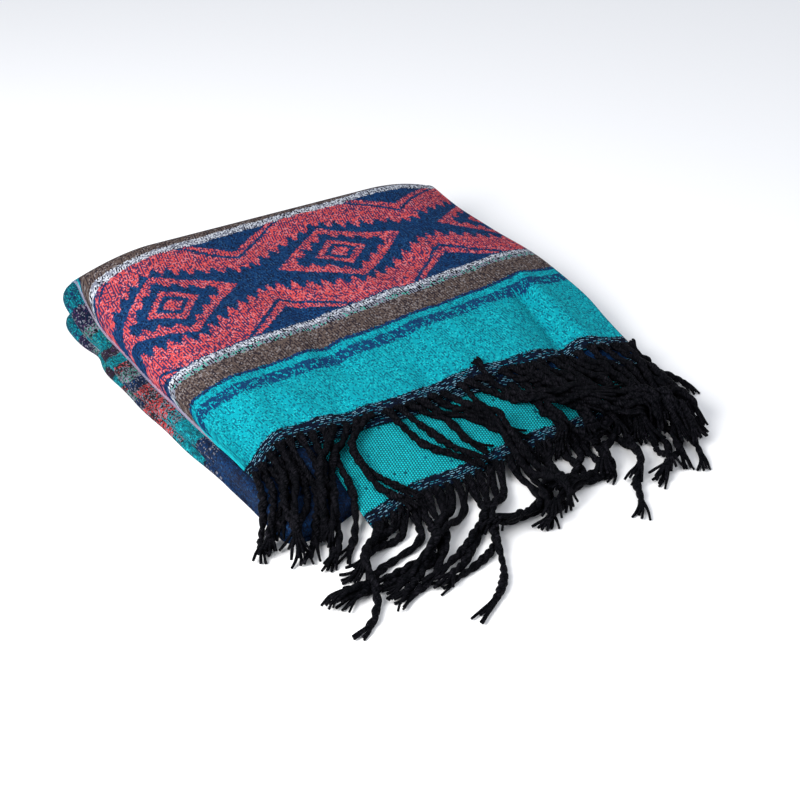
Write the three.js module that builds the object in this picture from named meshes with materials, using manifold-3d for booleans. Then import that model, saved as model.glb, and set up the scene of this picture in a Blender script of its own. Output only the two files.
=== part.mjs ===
// A fringed, woven meditation shawl folded into a flat packet.
// Millimetres. +X runs along the stripes, +Y to the back fold, -Y to the fringes, +Z up.
import * as THREE from 'three';
import { mergeVertices } from 'three/addons/utils/BufferGeometryUtils.js';
import Module from 'manifold-3d';

const wasm = await Module();
wasm.setup();

// ---------------------------------------------------------------- driving sizes

const CLOTH = 3.0; // wall of one woven layer, with its nap
const SEAM = 0.3; // gap between pieces that touch
const LAYER = CLOTH + SEAM; // step from one layer down to the next
const STEEPEST = 1.6; // largest upright thickening of a sloping layer
const CREST_Y = 162; // where the top face turns down into the back fold
const CREST_SKEW = 0.0375; // how far the back fold runs out of square
const BACK_RADIUS = 20; // round of the back fold
const BACK_FOOT = 5; // height of the lower end of the back fold
const ROLL_RADIUS = 5.2; // round of the lengthwise fold along the right side
const RIGHT_DROOP = 70; // width over which the right side of the top face droops
const STRIP_WIDTH = 6; // narrow strip that the strands of a fringe hang from
const STRAND_RADIUS = 3.0; // from the middle of a twisted strand to its corners
const STRAND_SIDES = 3;
const STRAND_ROOT = 4; // from the cloth's edge to the start of a strand
const ROOT_SHARE = 0.4; // share of the first stretch that is free to touch its own strip
const STRAND_CLEAR = 0.5; // air round a strand
const FLOOR_CLEAR = 0.6; // air under the lowest strand
const STRIP_CLEAR = 0.7; // least air between a strip and the next panel's edge
const LEFT_FALL = 1.8; // how steeply the left side falls at its edge
const RIGHT_FALL = 2; // the same on the right
const FLAP_X = -128; // left edge of the under flap
const FLAP_SPREAD = 12; // how far that edge runs out towards the front
const FLAP_SPREAD_FROM = -150; // where it starts to run out
const FLAP_SPREAD_LENGTH = 110;
const FLAP_BED = 16; // width of the slope that leads up on the flap
const SECOND_X = -188; // left edge of the second panel
const RIGHT_MARGIN = 0.8; // from the lengthwise fold to the layers inside it
const CORE_REACH = 4; // how far the packed layers run beyond the lengthwise fold
const LEFT_DROP = 2; // drop of the packed layers' top edge beside the left edge
const RIGHT_DROP = 1.5; // the same beyond the lengthwise fold
const ROLL_CLEAR = 0.5; // air under the lengthwise fold
const BELLY = 1.5; // how far the back fold swells halfway up
const TUCK = 2; // how far its foot is tucked in
const FOOT_SHARES = [0, 0.33, 0.66]; // heights of the rows up the back fold
const FOLD_TURNS = [90, 67.5, 45, 22.5]; // turns of the rows over the back fold, in degrees
const ROLL_TURNS = [50, 100, 145, 180]; // turns of the columns round the lengthwise fold
const BULGE_RIGHT = 5; // how far the packed layers swell on each side
const BULGE_BACK = 15;
const BULGE_BACK_RIGHT = 7;
const BULGE_FRONT = 4;
const TIP_SCATTER = 7; // how unevenly long the strands are
const BOW_SCATTER = 0.3; // how unevenly they swing, as a share
const LONG_LEAVE = 0.38; // share of its run for which a strand leaves the edge straight
const SHORT_LEAVE = 0.1; // the same for one that runs along the edge
const SHORT_RUN = 40; // a strand that leaves the edge by less than this runs along it
const SLOPE_STEP = 2; // distance over which a slope is measured
const NEED_SPACING = 2; // spacing of the places where a strand is kept clear
const LAY_SPACING = 1.5; // spacing of the places where it is laid on the map
const RAISING_ROUNDS = 40;
const LOWERING_ROUNDS = 6;
const EDGE_SLACK = 0.02; // share by which a triangle's shadow on the map is widened
const TINY = 1e-6; // square millimetres
const WELD = 1e-4; // distance within which points count as one

// Heights of the top face over the floor: at its left edge, over the middle and at its right edge.
// droop: width over which the left side falls. lobe: lift of the packed layers beside the left edge.
const STATIONS = [
  { y: -275, left: 14, mid: 15, right: 15, droop: 55, lobe: 0 },
  { y: -240, left: 19, mid: 20, right: 19, droop: 55, lobe: 0 },
  { y: -200, left: 25, mid: 26, right: 24, droop: 55, lobe: 0 },
  { y: -165, left: 29, mid: 31, right: 27, droop: 55, lobe: 0 },
  { y: -100, left: 27, mid: 37, right: 31, droop: 55, lobe: 0 },
  { y: -50, left: 26, mid: 42, right: 34, droop: 55, lobe: 0 },
  { y: 0, left: 25, mid: 48, right: 38, droop: 56, lobe: 0 },
  { y: 56, left: 26, mid: 55, right: 43, droop: 60, lobe: 0 },
  { y: 105, left: 27, mid: 61, right: 47, droop: 64, lobe: -2 },
  { y: 145, left: 36, mid: 65, right: 51, droop: 76, lobe: 3 },
  { y: 175, left: 50, mid: 65, right: 53, droop: 84, lobe: -2 },
];

// Side outlines in plan: the left edge of the top panel, the shoulder of the packed layers
// with their bulge beyond it, and the line of the lengthwise fold on the right.
const SIDES = [
  { y: -275, left: -200, shoulder: -194, bulge: 3, right: 188 },
  { y: -240, left: -200, shoulder: -201.5, bulge: 3, right: 190 },
  { y: -175, left: -200, shoulder: -202.5, bulge: 3, right: 194 },
  { y: -130, left: -202, shoulder: -204, bulge: 4, right: 201 },
  { y: -90, left: -204, shoulder: -206, bulge: 5, right: 209 },
  { y: -45, left: -205, shoulder: -208, bulge: 6, right: 212 },
  { y: 0, left: -206, shoulder: -210, bulge: 7, right: 211 },
  { y: 50, left: -206, shoulder: -211, bulge: 8, right: 202 },
  { y: 80, left: -206, shoulder: -210, bulge: 7, right: 198 },
  { y: 105, left: -206, shoulder: -208, bulge: 3, right: 195 },
  { y: 130, left: -205, shoulder: -210, bulge: 7, right: 194 },
  { y: 175, left: -201, shoulder: -208, bulge: 8, right: 195 },
];

// Front edges in plan. top: the top panel. peep: how far the second panel shows in front of it.
// flap: the under flap. core: the front of the packed layers.
const FRONTS = [
  { x: -205, top: -176, peep: 8, flap: -268, core: -240 },
  { x: -184, top: -160, peep: 8, flap: -266, core: -240 },
  { x: -157, top: -148, peep: 8, flap: -264, core: -236 },
  { x: -121, top: -149, peep: 8, flap: -256, core: -222 },
  { x: -84, top: -150, peep: 8, flap: -247, core: -218 },
  { x: -40, top: -154, peep: 8, flap: -248, core: -216 },
  { x: 5, top: -151, peep: 8, flap: -243, core: -214 },
  { x: 51, top: -152, peep: 14, flap: -240, core: -213 },
  { x: 76, top: -157, peep: 20, flap: -243, core: -212 },
  { x: 111, top: -160, peep: 22, flap: -240, core: -212 },
  { x: 147, top: -158, peep: 32, flap: -235, core: -213 },
  { x: 184, top: -169, peep: 31, flap: -232, core: -214 },
  { x: 215, top: -174, peep: 20, flap: -230, core: -212 },
];

// Soft troughs (negative) and ridges (positive) of the lying cloth, along straight runs.
const RELIEF = [
  { x1: -45, y1: 35, x2: -60, y2: -85, width: 17, rise: -4 },
  { x1: 152, y1: -75, x2: 131, y2: -172, width: 13, rise: -4.5 },
  { x1: -150, y1: -60, x2: -160, y2: -150, width: 20, rise: 3 },
  { x1: 60, y1: -70, x2: 88, y2: -150, width: 22, rise: 3 },
  { x1: -20, y1: 120, x2: 120, y2: 100, width: 18, rise: -2 },
];

// Side of the packed layers from their top edge down: share of the height and of the bulge.
const SIDE_PROFILE = [
  { height: 1.0, bulge: 0.0 },
  { height: 0.96, bulge: 0.4 },
  { height: 0.85, bulge: 0.8 },
  { height: 0.72, bulge: 1.0 },
  { height: 0.6, bulge: 0.92 },
  { height: 0.52, bulge: 0.62 },
  { height: 0.43, bulge: 0.92 },
  { height: 0.27, bulge: 1.0 },
  { height: 0.1, bulge: 0.8 },
  { height: 0.0, bulge: 0.45 },
];

// Locks of fringe. from, to: where the roots lie along X. tipX, tipY: the middle of their tips.
// fan: spacing of the tips. bow: how far the strands swing sideways.
const UNDER_LOCKS = [
  { from: -127, to: -109, count: 3, tipX: -190, tipY: -306, fan: 8, bow: -4 },
  { from: -99, to: -81, count: 3, tipX: -214, tipY: -332, fan: 8, bow: 6 },
  { from: -136, to: -136, count: 1, tipX: -218, tipY: -378, fan: 0, bow: -6 },
  { from: -70, to: -50, count: 3, tipX: -182, tipY: -350, fan: 8, bow: 4 },
  { from: -39, to: -18, count: 3, tipX: -140, tipY: -354, fan: 8, bow: 4 },
  { from: -7, to: -7, count: 1, tipX: -122, tipY: -400, fan: 0, bow: -6 },
  { from: 6, to: 28, count: 3, tipX: -66, tipY: -328, fan: 9, bow: 5 },
  { from: 39, to: 61, count: 3, tipX: -22, tipY: -332, fan: 10, bow: -4 },
  { from: 72, to: 92, count: 3, tipX: 20, tipY: -316, fan: 10, bow: 4 },
  { from: 103, to: 103, count: 1, tipX: 44, tipY: -366, fan: 0, bow: 14 },
  { from: 114, to: 134, count: 3, tipX: 68, tipY: -318, fan: 9, bow: -4 },
  { from: 144, to: 155, count: 2, tipX: 90, tipY: -338, fan: 14, bow: 4 },
  { from: 165, to: 185, count: 3, tipX: 134, tipY: -338, fan: 10, bow: -4 },
];

const SECOND_LOCKS = [
  { from: -182, to: -162, count: 3, tipX: -214, tipY: -248, fan: 9, bow: 3 },
  { from: 48, to: 48, count: 1, tipX: 43, tipY: -132, fan: 0, bow: 1 },
  { from: 60, to: 70, count: 2, tipX: 50, tipY: -262, fan: 12, bow: 5 },
  { from: 81, to: 101, count: 3, tipX: 88, tipY: -274, fan: 11, bow: -4 },
  { from: 112, to: 132, count: 3, tipX: 118, tipY: -284, fan: 11, bow: 5 },
  { from: 144, to: 158, count: 2, tipX: 140, tipY: -296, fan: 12, bow: -5 },
  { from: 170, to: 188, count: 3, tipX: 163, tipY: -300, fan: 10, bow: 4 },
];

const TOP_LOCKS = [
  { from: -197, to: -187, count: 2, tipX: -227, tipY: -258, fan: 8, bow: -5 },
  { from: -175, to: -153, count: 3, tipX: -208, tipY: -272, fan: 8, bow: -3 },
  { from: -143, to: -121, count: 3, tipX: -192, tipY: -288, fan: 8, bow: 3 },
  { from: -110, to: -96, count: 2, tipX: -184, tipY: -262, fan: 9, bow: -12 },
  { from: -84, to: -72, count: 2, tipX: -94, tipY: -264, fan: 10, bow: -36 },
  { from: -60, to: -38, count: 3, tipX: -12, tipY: -246, fan: 13, bow: 6 },
  { from: -26, to: -14, count: 2, tipX: 36, tipY: -238, fan: 13, bow: 6 },
  { from: 0, to: 18, count: 2, tipX: 12, tipY: -322, fan: 13, bow: 7 },
  { from: 60, to: 78, count: 3, tipX: 112, tipY: -244, fan: 11, bow: 8 },
  { from: 88, to: 100, count: 2, tipX: 140, tipY: -266, fan: 11, bow: -5 },
  { from: 111, to: 132, count: 3, tipX: 152, tipY: -288, fan: 10, bow: 6 },
  { from: 143, to: 157, count: 2, tipX: 156, tipY: -314, fan: 11, bow: -6 },
  { from: 167, to: 178, count: 2, tipX: 174, tipY: -316, fan: 10, bow: 5 },
  { from: 187, to: 187, count: 1, tipX: 192, tipY: -304, fan: 0, bow: -9 },
  { from: 194, to: 194, count: 1, tipX: 212, tipY: -254, fan: 0, bow: 10 },
  { from: 25, to: 36, count: 2, tipX: 130, tipY: -242, fan: 10, bow: 10 },
];

// Where a strand bends, as shares of its run: closest where it leaves the strip.
const STRAND_BENDS = [0, 0.06, 0.15, 0.27, 0.42, 0.6, 0.79, 1];

const COLOURS = { teal: 0x12a0ac, navy: 0x173a66, black: 0x14151b, coral: 0xb8525c };

// ---------------------------------------------------------------- small helpers

// A smooth curve through one column of a table, with steady ends.
function smooth(table, key, column) {
  const xs = table.map((row) => row[key]);
  const ys = table.map((row) => row[column]);
  const last = xs.length - 1;
  const slopes = xs.map((_, n) => {
    const a = Math.max(0, n - 1);
    const b = Math.min(last, n + 1);
    return (ys[b] - ys[a]) / (xs[b] - xs[a]);
  });
  return (at) => {
    const x = Math.min(Math.max(at, xs[0]), xs[last]);
    let n = 0;
    while (n < last - 1 && x > xs[n + 1]) {
      n += 1;
    }
    const h = xs[n + 1] - xs[n];
    const t = (x - xs[n]) / h;
    const rise = (3 - 2 * t) * t * t;
    return ys[n] * (1 - rise) + ys[n + 1] * rise
      + slopes[n] * h * t * (1 - t) * (1 - t) - slopes[n + 1] * h * t * t * (1 - t);
  };
}

// A steady number between -1 and 1 for a whole number.
function uneven(n) {
  const wave = Math.sin(n * 12.9898 + 4.1) * 437.585;
  return 2 * (wave - Math.floor(wave)) - 1;
}

const leftHeight = smooth(STATIONS, 'y', 'left');
const midHeight = smooth(STATIONS, 'y', 'mid');
const rightHeight = smooth(STATIONS, 'y', 'right');
const droopWidth = smooth(STATIONS, 'y', 'droop');
const lobeHeight = smooth(STATIONS, 'y', 'lobe');
const leftEdge = smooth(SIDES, 'y', 'left');
const shoulderLine = smooth(SIDES, 'y', 'shoulder');
const leftBulge = smooth(SIDES, 'y', 'bulge');
const rightEdge = smooth(SIDES, 'y', 'right');
const topFront = smooth(FRONTS, 'x', 'top');
const peepWidth = smooth(FRONTS, 'x', 'peep');
const flapFront = smooth(FRONTS, 'x', 'flap');
const coreFront = smooth(FRONTS, 'x', 'core');
const crestLine = (x) => CREST_Y - CREST_SKEW * x;
const secondFront = (x) => topFront(x) - Math.max(peepWidth(x), SEAM + STRIP_WIDTH + STRIP_CLEAR);

// Distance from a point to a straight run.
function offRun(x, y, run) {
  const dx = run.x2 - run.x1;
  const dy = run.y2 - run.y1;
  const along = ((x - run.x1) * dx + (y - run.y1) * dy) / (dx * dx + dy * dy);
  const t = Math.min(1, Math.max(0, along));
  return Math.hypot(x - run.x1 - dx * t, y - run.y1 - dy * t);
}

// Height of the top face of the packet over the floor.
function faceHeight(x, y) {
  const fromLeft = Math.min(1, Math.max(0, (x - leftEdge(y)) / droopWidth(y)));
  const fromRight = Math.min(1, Math.max(0, (rightEdge(y) - x) / RIGHT_DROOP));
  const mid = midHeight(y);
  const droop = (mid - leftHeight(y)) * (1 - fromLeft) ** LEFT_FALL
    + (mid - rightHeight(y)) * (1 - fromRight) ** RIGHT_FALL;
  const relief = RELIEF.reduce(
    (sum, run) => sum + run.rise * Math.exp(-((offRun(x, y, run) / run.width) ** 2)), 0);
  return mid - droop + relief;
}

// How much a sloping layer thickens, measured upright.
function steepness(x, y) {
  const d = SLOPE_STEP;
  const sx = (faceHeight(x + d, y) - faceHeight(x - d, y)) / (2 * d);
  const sy = (faceHeight(x, y + d) - faceHeight(x, y - d)) / (2 * d);
  return Math.min(STEEPEST, Math.hypot(1, sx, sy));
}

// ---------------------------------------------------------------- the shared net

// Columns from left to right. Every layer uses the same net, so stacked layers stay parallel.
const clampShare = (t) => Math.min(1, Math.max(0, t));
const flapLeft = (y) => FLAP_X - FLAP_SPREAD * clampShare((FLAP_SPREAD_FROM - y) / FLAP_SPREAD_LENGTH);
const STEADY_COLUMNS = [-108, -84, -56, -26, 6, 38, 70, 102, 132, 156, 176];
const COLUMNS = [
  (y) => shoulderLine(y),
  (y) => leftEdge(y),
  () => SECOND_X,
  () => SECOND_X + FLAP_BED + 1,
  (y) => flapLeft(y) - FLAP_BED,
  (y) => flapLeft(y),
  ...STEADY_COLUMNS.map((x) => () => x),
  (y) => (STEADY_COLUMNS.at(-1) + rightEdge(y)) / 2,
  (y) => rightEdge(y) - RIGHT_MARGIN,
  (y) => rightEdge(y),
  (y) => rightEdge(y) + CORE_REACH,
];
const COL = {
  core: 0,
  top: 1,
  second: 2,
  flap: 5,
  inner: COLUMNS.length - 3,
  right: COLUMNS.length - 2,
  last: COLUMNS.length - 1,
};

// Rows from the crest of the back fold to the front of the under flap.
const TOP_ROWS = 15;
const mix = (a, b, t) => a + (b - a) * t;
const secondStripEnd = (x) => secondFront(x) - SEAM - STRIP_WIDTH;
const topRow = (n) => (x) => mix(crestLine(x), topFront(x), n / TOP_ROWS);
const ROWS = [
  ...Array.from({ length: TOP_ROWS + 1 }, (_, n) => topRow(n)),
  (x) => topFront(x) - SEAM,
  (x) => topFront(x) - SEAM - STRIP_WIDTH,
  (x) => secondFront(x),
  (x) => secondFront(x) - SEAM,
  (x) => secondStripEnd(x),
  (x) => mix(secondStripEnd(x), coreFront(x), 0.5),
  (x) => coreFront(x),
  (x) => mix(coreFront(x), flapFront(x), 0.5),
  (x) => flapFront(x),
  (x) => flapFront(x) - SEAM,
  (x) => flapFront(x) - SEAM - STRIP_WIDTH,
];
const ROW = {
  hidden: 10,
  top: TOP_ROWS,
  second: TOP_ROWS + 3,
  core: TOP_ROWS + 7,
  flap: TOP_ROWS + 9,
};

// A point of the net: its place in plan, the face height and the steepness.
function netPoint(i, j) {
  let y = ROWS[j](COLUMNS[i](0));
  const x = COLUMNS[i](y);
  y = ROWS[j](x);
  return { x, y, z: faceHeight(x, y), steep: steepness(x, y) };
}

const NET = COLUMNS.map((_, i) => ROWS.map((__, j) => netPoint(i, j)));

// A point of the net moved down by a number of layers and by part of a wall.
function sunk(i, j, layers, wall) {
  const p = NET[i][j];
  return new THREE.Vector3(p.x, p.y, p.z - (layers * LAYER + wall) * p.steep);
}

// ---------------------------------------------------------------- meshes

// A closed solid from a net of outer points and the matching net of inner points.
function wallSolid(outer, inner) {
  const across = outer.length;
  const along = outer[0].length;
  const points = [...outer.flat(), ...inner.flat()];
  const under = across * along;
  const at = (i, j) => i * along + j;
  const faces = [];
  const quad = (a, b, c, d) => faces.push(a, b, c, a, c, d);
  for (let i = 0; i < across - 1; i += 1) {
    for (let j = 0; j < along - 1; j += 1) {
      const [a, b, c, d] = [at(i, j), at(i, j + 1), at(i + 1, j + 1), at(i + 1, j)];
      quad(a, b, c, d);
      quad(under + a, under + d, under + c, under + b);
    }
  }
  for (let i = 0; i < across - 1; i += 1) {
    const near = [at(i, along - 1), at(i + 1, along - 1)];
    const far = [at(i, 0), at(i + 1, 0)];
    quad(near[0], under + near[0], under + near[1], near[1]);
    quad(far[1], under + far[1], under + far[0], far[0]);
  }
  for (let j = 0; j < along - 1; j += 1) {
    const left = [at(0, j), at(0, j + 1)];
    const right = [at(across - 1, j), at(across - 1, j + 1)];
    quad(left[0], under + left[0], under + left[1], left[1]);
    quad(right[1], under + right[1], under + right[0], right[0]);
  }
  return geometryOf(points, faces);
}

// A geometry from points and the numbers of its triangles' corners.
function geometryOf(points, faces) {
  const geometry = new THREE.BufferGeometry();
  const places = points.flatMap((p) => [p.x, p.y, p.z]);
  geometry.setAttribute('position', new THREE.Float32BufferAttribute(places, 3));
  geometry.setIndex(faces);
  return geometry;
}

// A named mesh of cloth or yarn.
function named(name, geometry, colour) {
  const material = new THREE.MeshStandardMaterial({ color: colour, roughness: 0.95, metalness: 0 });
  const mesh = new THREE.Mesh(geometry, material);
  mesh.name = name;
  return mesh;
}

// A layer of cloth between two columns and two rows of the net.
function layerSolid(cols, rows, layers) {
  const outer = [];
  const inner = [];
  for (let i = cols[0]; i <= cols[1]; i += 1) {
    outer.push([]);
    inner.push([]);
    for (let j = rows[0]; j <= rows[1]; j += 1) {
      outer.at(-1).push(sunk(i, j, layers, 0));
      inner.at(-1).push(sunk(i, j, layers, CLOTH));
    }
  }
  return wallSolid(outer, inner);
}

// ---------------------------------------------------------------- pieces

// One line of the top panel from the foot of the back fold over the crest to the front edge.
// Each point carries the direction that leads out of the packet.
function panelLine(i) {
  const crest = NET[i][0];
  const centre = { y: crest.y, z: crest.z - BACK_RADIUS };
  const line = [];
  for (const share of FOOT_SHARES) {
    const z = mix(BACK_FOOT, centre.z, share);
    const belly = BELLY * Math.sin(Math.PI * share) - TUCK * (1 - share);
    line.push({ x: crest.x, y: centre.y + BACK_RADIUS + belly, z, out: [1, 0], steep: 1 });
  }
  for (const turn of FOLD_TURNS) {
    const a = THREE.MathUtils.degToRad(turn);
    const out = [Math.sin(a), Math.cos(a)];
    const place = { y: centre.y + BACK_RADIUS * out[0], z: centre.z + BACK_RADIUS * out[1] };
    line.push({ x: crest.x, ...place, out, steep: 1 });
  }
  for (let j = 0; j <= ROW.top; j += 1) {
    line.push({ ...NET[i][j], out: [0, 1] });
  }
  return line;
}

// A point at a depth under a panel point.
function under(p, depth) {
  return new THREE.Vector3(p.x, p.y - depth * p.out[0] * p.steep, p.z - depth * p.out[1] * p.steep);
}

// The top panel with the back fold, its right edge rolled under as the lengthwise fold.
function topPanel() {
  const outer = [];
  const inner = [];
  for (let i = COL.top; i <= COL.right; i += 1) {
    const line = panelLine(i);
    outer.push(line.map((p) => under(p, 0)));
    inner.push(line.map((p) => under(p, CLOTH)));
  }
  const edge = panelLine(COL.right);
  for (const turn of ROLL_TURNS) {
    const a = THREE.MathUtils.degToRad(turn);
    const swung = (p, radius) => {
      const place = under(p, (ROLL_RADIUS - radius * Math.cos(a)) / p.steep);
      place.x += radius * Math.sin(a);
      return place;
    };
    outer.push(edge.map((p) => swung(p, ROLL_RADIUS)));
    inner.push(edge.map((p) => swung(p, ROLL_RADIUS - CLOTH)));
  }
  return wallSolid(outer, inner);
}

// The face that the packed layers show, under every panel that lies on them.
function corePoint(i, j) {
  const underSecond = i >= COL.second && i <= COL.inner && j >= ROW.hidden;
  const underFlap = i >= COL.flap && i <= COL.inner && j >= ROW.hidden;
  const layers = 1 + Number(underSecond) + Number(underFlap);
  const point = sunk(i, j, layers, 0);
  if (i === COL.core) {
    point.z = sunk(COL.top, j, 1, 0).z - LEFT_DROP + lobeHeight(point.y);
  }
  if (i >= COL.right) {
    const drop = i === COL.last ? RIGHT_DROP : 0;
    point.z = NET[COL.right][j].z - 2 * ROLL_RADIUS - SEAM - ROLL_CLEAR - drop;
  }
  return point;
}

// How far the packed layers bulge beyond their top edge, at a point of that edge.
function bulgeAt(i, j, y) {
  if (i === COL.core) {
    return leftBulge(y);
  }
  if (i === COL.last) {
    return BULGE_RIGHT;
  }
  if (j === 0) {
    return i >= COL.inner ? BULGE_BACK_RIGHT : BULGE_BACK;
  }
  return BULGE_FRONT;
}

// The border of a net of columns and rows, once round from its first point.
function borderLoop(lastColumn, lastRow) {
  const columns = Array.from({ length: lastColumn }, (_, n) => n);
  const rows = Array.from({ length: lastRow }, (_, n) => n);
  return [
    ...rows.map((n) => [0, n]),
    ...columns.map((n) => [n, lastRow]),
    ...rows.map((n) => [lastColumn, lastRow - n]),
    ...columns.map((n) => [lastColumn - n, 0]),
  ];
}

// The border points of the packed layers, each with the way and the length of its bulge.
function bulges(loop, edge) {
  return loop.map(([i, j], n) => {
    const before = edge[(n + edge.length - 1) % edge.length];
    const after = edge[(n + 1) % edge.length];
    const way = new THREE.Vector2(after.x - before.x, after.y - before.y).normalize();
    return new THREE.Vector2(way.y, -way.x).multiplyScalar(bulgeAt(i, j, edge[n].y));
  });
}

// The hidden layers as one rounded solid, layered round its edges and flat underneath.
function packedLayers() {
  const rows = ROW.core + 1;
  const at = (i, j) => i * rows + j;
  const points = COLUMNS.flatMap((_, i) => Array.from({ length: rows }, (__, j) => corePoint(i, j)));
  const faces = [];
  const quad = (p, q, r, t) => faces.push(p, q, r, p, r, t);
  for (let i = 0; i < COL.last; i += 1) {
    for (let j = 0; j < rows - 1; j += 1) {
      quad(at(i, j), at(i, j + 1), at(i + 1, j + 1), at(i + 1, j));
    }
  }
  const loop = borderLoop(COL.last, rows - 1);
  const edge = loop.map(([i, j]) => points[at(i, j)]);
  const reach = bulges(loop, edge);
  let upper = loop.map(([i, j]) => at(i, j));
  for (const level of SIDE_PROFILE.slice(1)) {
    const first = points.length;
    edge.forEach((p, n) => {
      const out = reach[n].clone().multiplyScalar(level.bulge);
      points.push(new THREE.Vector3(p.x + out.x, p.y + out.y, p.z * level.height));
    });
    const lower = edge.map((_, n) => first + n);
    edge.forEach((_, n) => {
      const m = (n + 1) % edge.length;
      quad(upper[n], lower[n], lower[m], upper[m]);
    });
    upper = lower;
  }
  const foot = upper.map((n) => new THREE.Vector2(points[n].x, points[n].y));
  for (const [p, q, r] of THREE.ShapeUtils.triangulateShape(foot, [])) {
    faces.push(upper[p], upper[r], upper[q]);
  }
  return geometryOf(points, faces);
}

// ---------------------------------------------------------------- fringes

// The highest surface over each small square of the floor, which the strands are laid on.
class Ground {
  constructor() {
    this.cell = 2;
    this.west = -300;
    this.south = -460;
    this.across = 300;
    this.along = 350;
    this.heights = new Float64Array(this.across * this.along);
  }

  // Calls back with each square whose middle lies within a distance of a point.
  near(x, y, distance, act) {
    const lowI = Math.ceil((x - distance - this.west) / this.cell - 0.5);
    const highI = Math.floor((x + distance - this.west) / this.cell - 0.5);
    const lowJ = Math.ceil((y - distance - this.south) / this.cell - 0.5);
    const highJ = Math.floor((y + distance - this.south) / this.cell - 0.5);
    for (let i = lowI; i <= highI; i += 1) {
      for (let j = lowJ; j <= highJ; j += 1) {
        const dx = this.west + (i + 0.5) * this.cell - x;
        const dy = this.south + (j + 0.5) * this.cell - y;
        const square = dx * dx + dy * dy;
        if (square <= distance * distance) {
          act(i * this.along + j, square);
        }
      }
    }
  }

  // Lays a closed mesh on the map.
  addMesh(geometry) {
    const place = geometry.attributes.position;
    const index = geometry.index;
    const corner = (n) => new THREE.Vector3().fromBufferAttribute(place, index.getX(n));
    for (let n = 0; n < index.count; n += 3) {
      this.addTriangle(corner(n), corner(n + 1), corner(n + 2));
    }
  }

  // Lays one triangle on the map, if it faces up.
  addTriangle(a, b, c) {
    const area = (b.x - a.x) * (c.y - a.y) - (c.x - a.x) * (b.y - a.y);
    if (area < TINY) {
      return;
    }
    const middle = { x: (a.x + b.x + c.x) / 3, y: (a.y + b.y + c.y) / 3 };
    const reach = Math.max(...[a, b, c].map((p) => Math.hypot(p.x - middle.x, p.y - middle.y)));
    this.near(middle.x, middle.y, reach + this.cell, (cell) => {
      const x = this.west + (Math.floor(cell / this.along) + 0.5) * this.cell;
      const y = this.south + ((cell % this.along) + 0.5) * this.cell;
      const v = ((x - a.x) * (c.y - a.y) - (c.x - a.x) * (y - a.y)) / area;
      const w = ((b.x - a.x) * (y - a.y) - (x - a.x) * (b.y - a.y)) / area;
      if (Math.min(v, w, 1 - v - w) >= -EDGE_SLACK) {
        const z = a.z + v * (b.z - a.z) + w * (c.z - a.z);
        this.heights[cell] = Math.max(this.heights[cell], z);
      }
    });
  }

  // The lowest middle height of a ball that clears the map.
  rest(x, y, radius) {
    let height = STRAND_RADIUS + FLOOR_CLEAR;
    this.near(x, y, radius, (cell, square) => {
      const z = this.heights[cell] + Math.sqrt(radius * radius - square);
      height = Math.max(height, z);
    });
    return height;
  }

  // Lays a strand on the map.
  addStrand(path) {
    for (const p of along(path, LAY_SPACING)) {
      this.near(p.x, p.y, STRAND_RADIUS, (cell, square) => {
        const z = p.z + Math.sqrt(STRAND_RADIUS * STRAND_RADIUS - square);
        this.heights[cell] = Math.max(this.heights[cell], z);
      });
    }
  }
}

// Points along a broken line at a spacing, each with its stretch and its share of that stretch.
function along(path, spacing) {
  const points = [];
  for (let n = 0; n < path.length - 1; n += 1) {
    const steps = Math.ceil(path[n].distanceTo(path[n + 1]) / spacing);
    for (let m = 0; m <= steps; m += 1) {
      const point = path[n].clone().lerp(path[n + 1], m / steps);
      points.push(Object.assign(point, { stretch: n, share: m / steps }));
    }
  }
  return points;
}

// The places along a strand that have to clear what lies below, with the height that each needs.
// Near its root a strand may touch the strip and its own fringe.
function heightsNeeded(path, ground, fringe) {
  const radius = STRAND_RADIUS + STRAND_CLEAR;
  const needs = [];
  for (const p of along(path, NEED_SPACING)) {
    if (p.stretch > 0 || p.share >= ROOT_SHARE) {
      const beside = p.stretch > 0 ? fringe.rest(p.x, p.y, radius) : 0;
      const height = Math.max(ground.rest(p.x, p.y, radius), beside);
      needs.push({ n: p.stretch, t: p.share, height });
    }
  }
  return needs;
}

// Starts a strand's points at the heights that their own places need.
function startHeights(path, needs) {
  for (const { n, t, height } of needs) {
    if (t === 0 && n > 0) {
      path[n].z = height;
    }
    if (t === 1) {
      path[n + 1].z = Math.max(path[n + 1].z, height);
    }
  }
}

// Raises both ends of each stretch that lies too low somewhere, but never the root.
function raise(path, needs) {
  for (const { n, t, height } of needs) {
    const lack = Math.max(0, height - mix(path[n].z, path[n + 1].z, t));
    const near = n === 0 ? 0 : 1 - t;
    const whole = near * near + t * t;
    path[n].z += (lack * near) / whole;
    path[n + 1].z += (lack * t) / whole;
  }
}

// The lowest height at which a point of a strand keeps both its stretches clear.
function lowestAt(path, needs, k) {
  let lowest = STRAND_RADIUS + FLOOR_CLEAR;
  for (const { n, t, height } of needs) {
    if (n === k - 1 && t > 0) {
      lowest = Math.max(lowest, (height - (1 - t) * path[n].z) / t);
    }
    if (n === k && t < 1) {
      lowest = Math.max(lowest, (height - t * path[n + 1].z) / (1 - t));
    }
  }
  return lowest;
}

// Raises a strand's points until every part of it is clear, then lowers each as far as it goes.
function settle(path, ground, fringe) {
  const needs = heightsNeeded(path, ground, fringe);
  startHeights(path, needs);
  for (let round = 0; round < RAISING_ROUNDS; round += 1) {
    raise(path, needs);
  }
  for (let round = 0; round < LOWERING_ROUNDS; round += 1) {
    for (let k = path.length - 1; k > 0; k -= 1) {
      path[k].z = Math.min(path[k].z, lowestAt(path, needs, k));
    }
  }
  return path;
}

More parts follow.
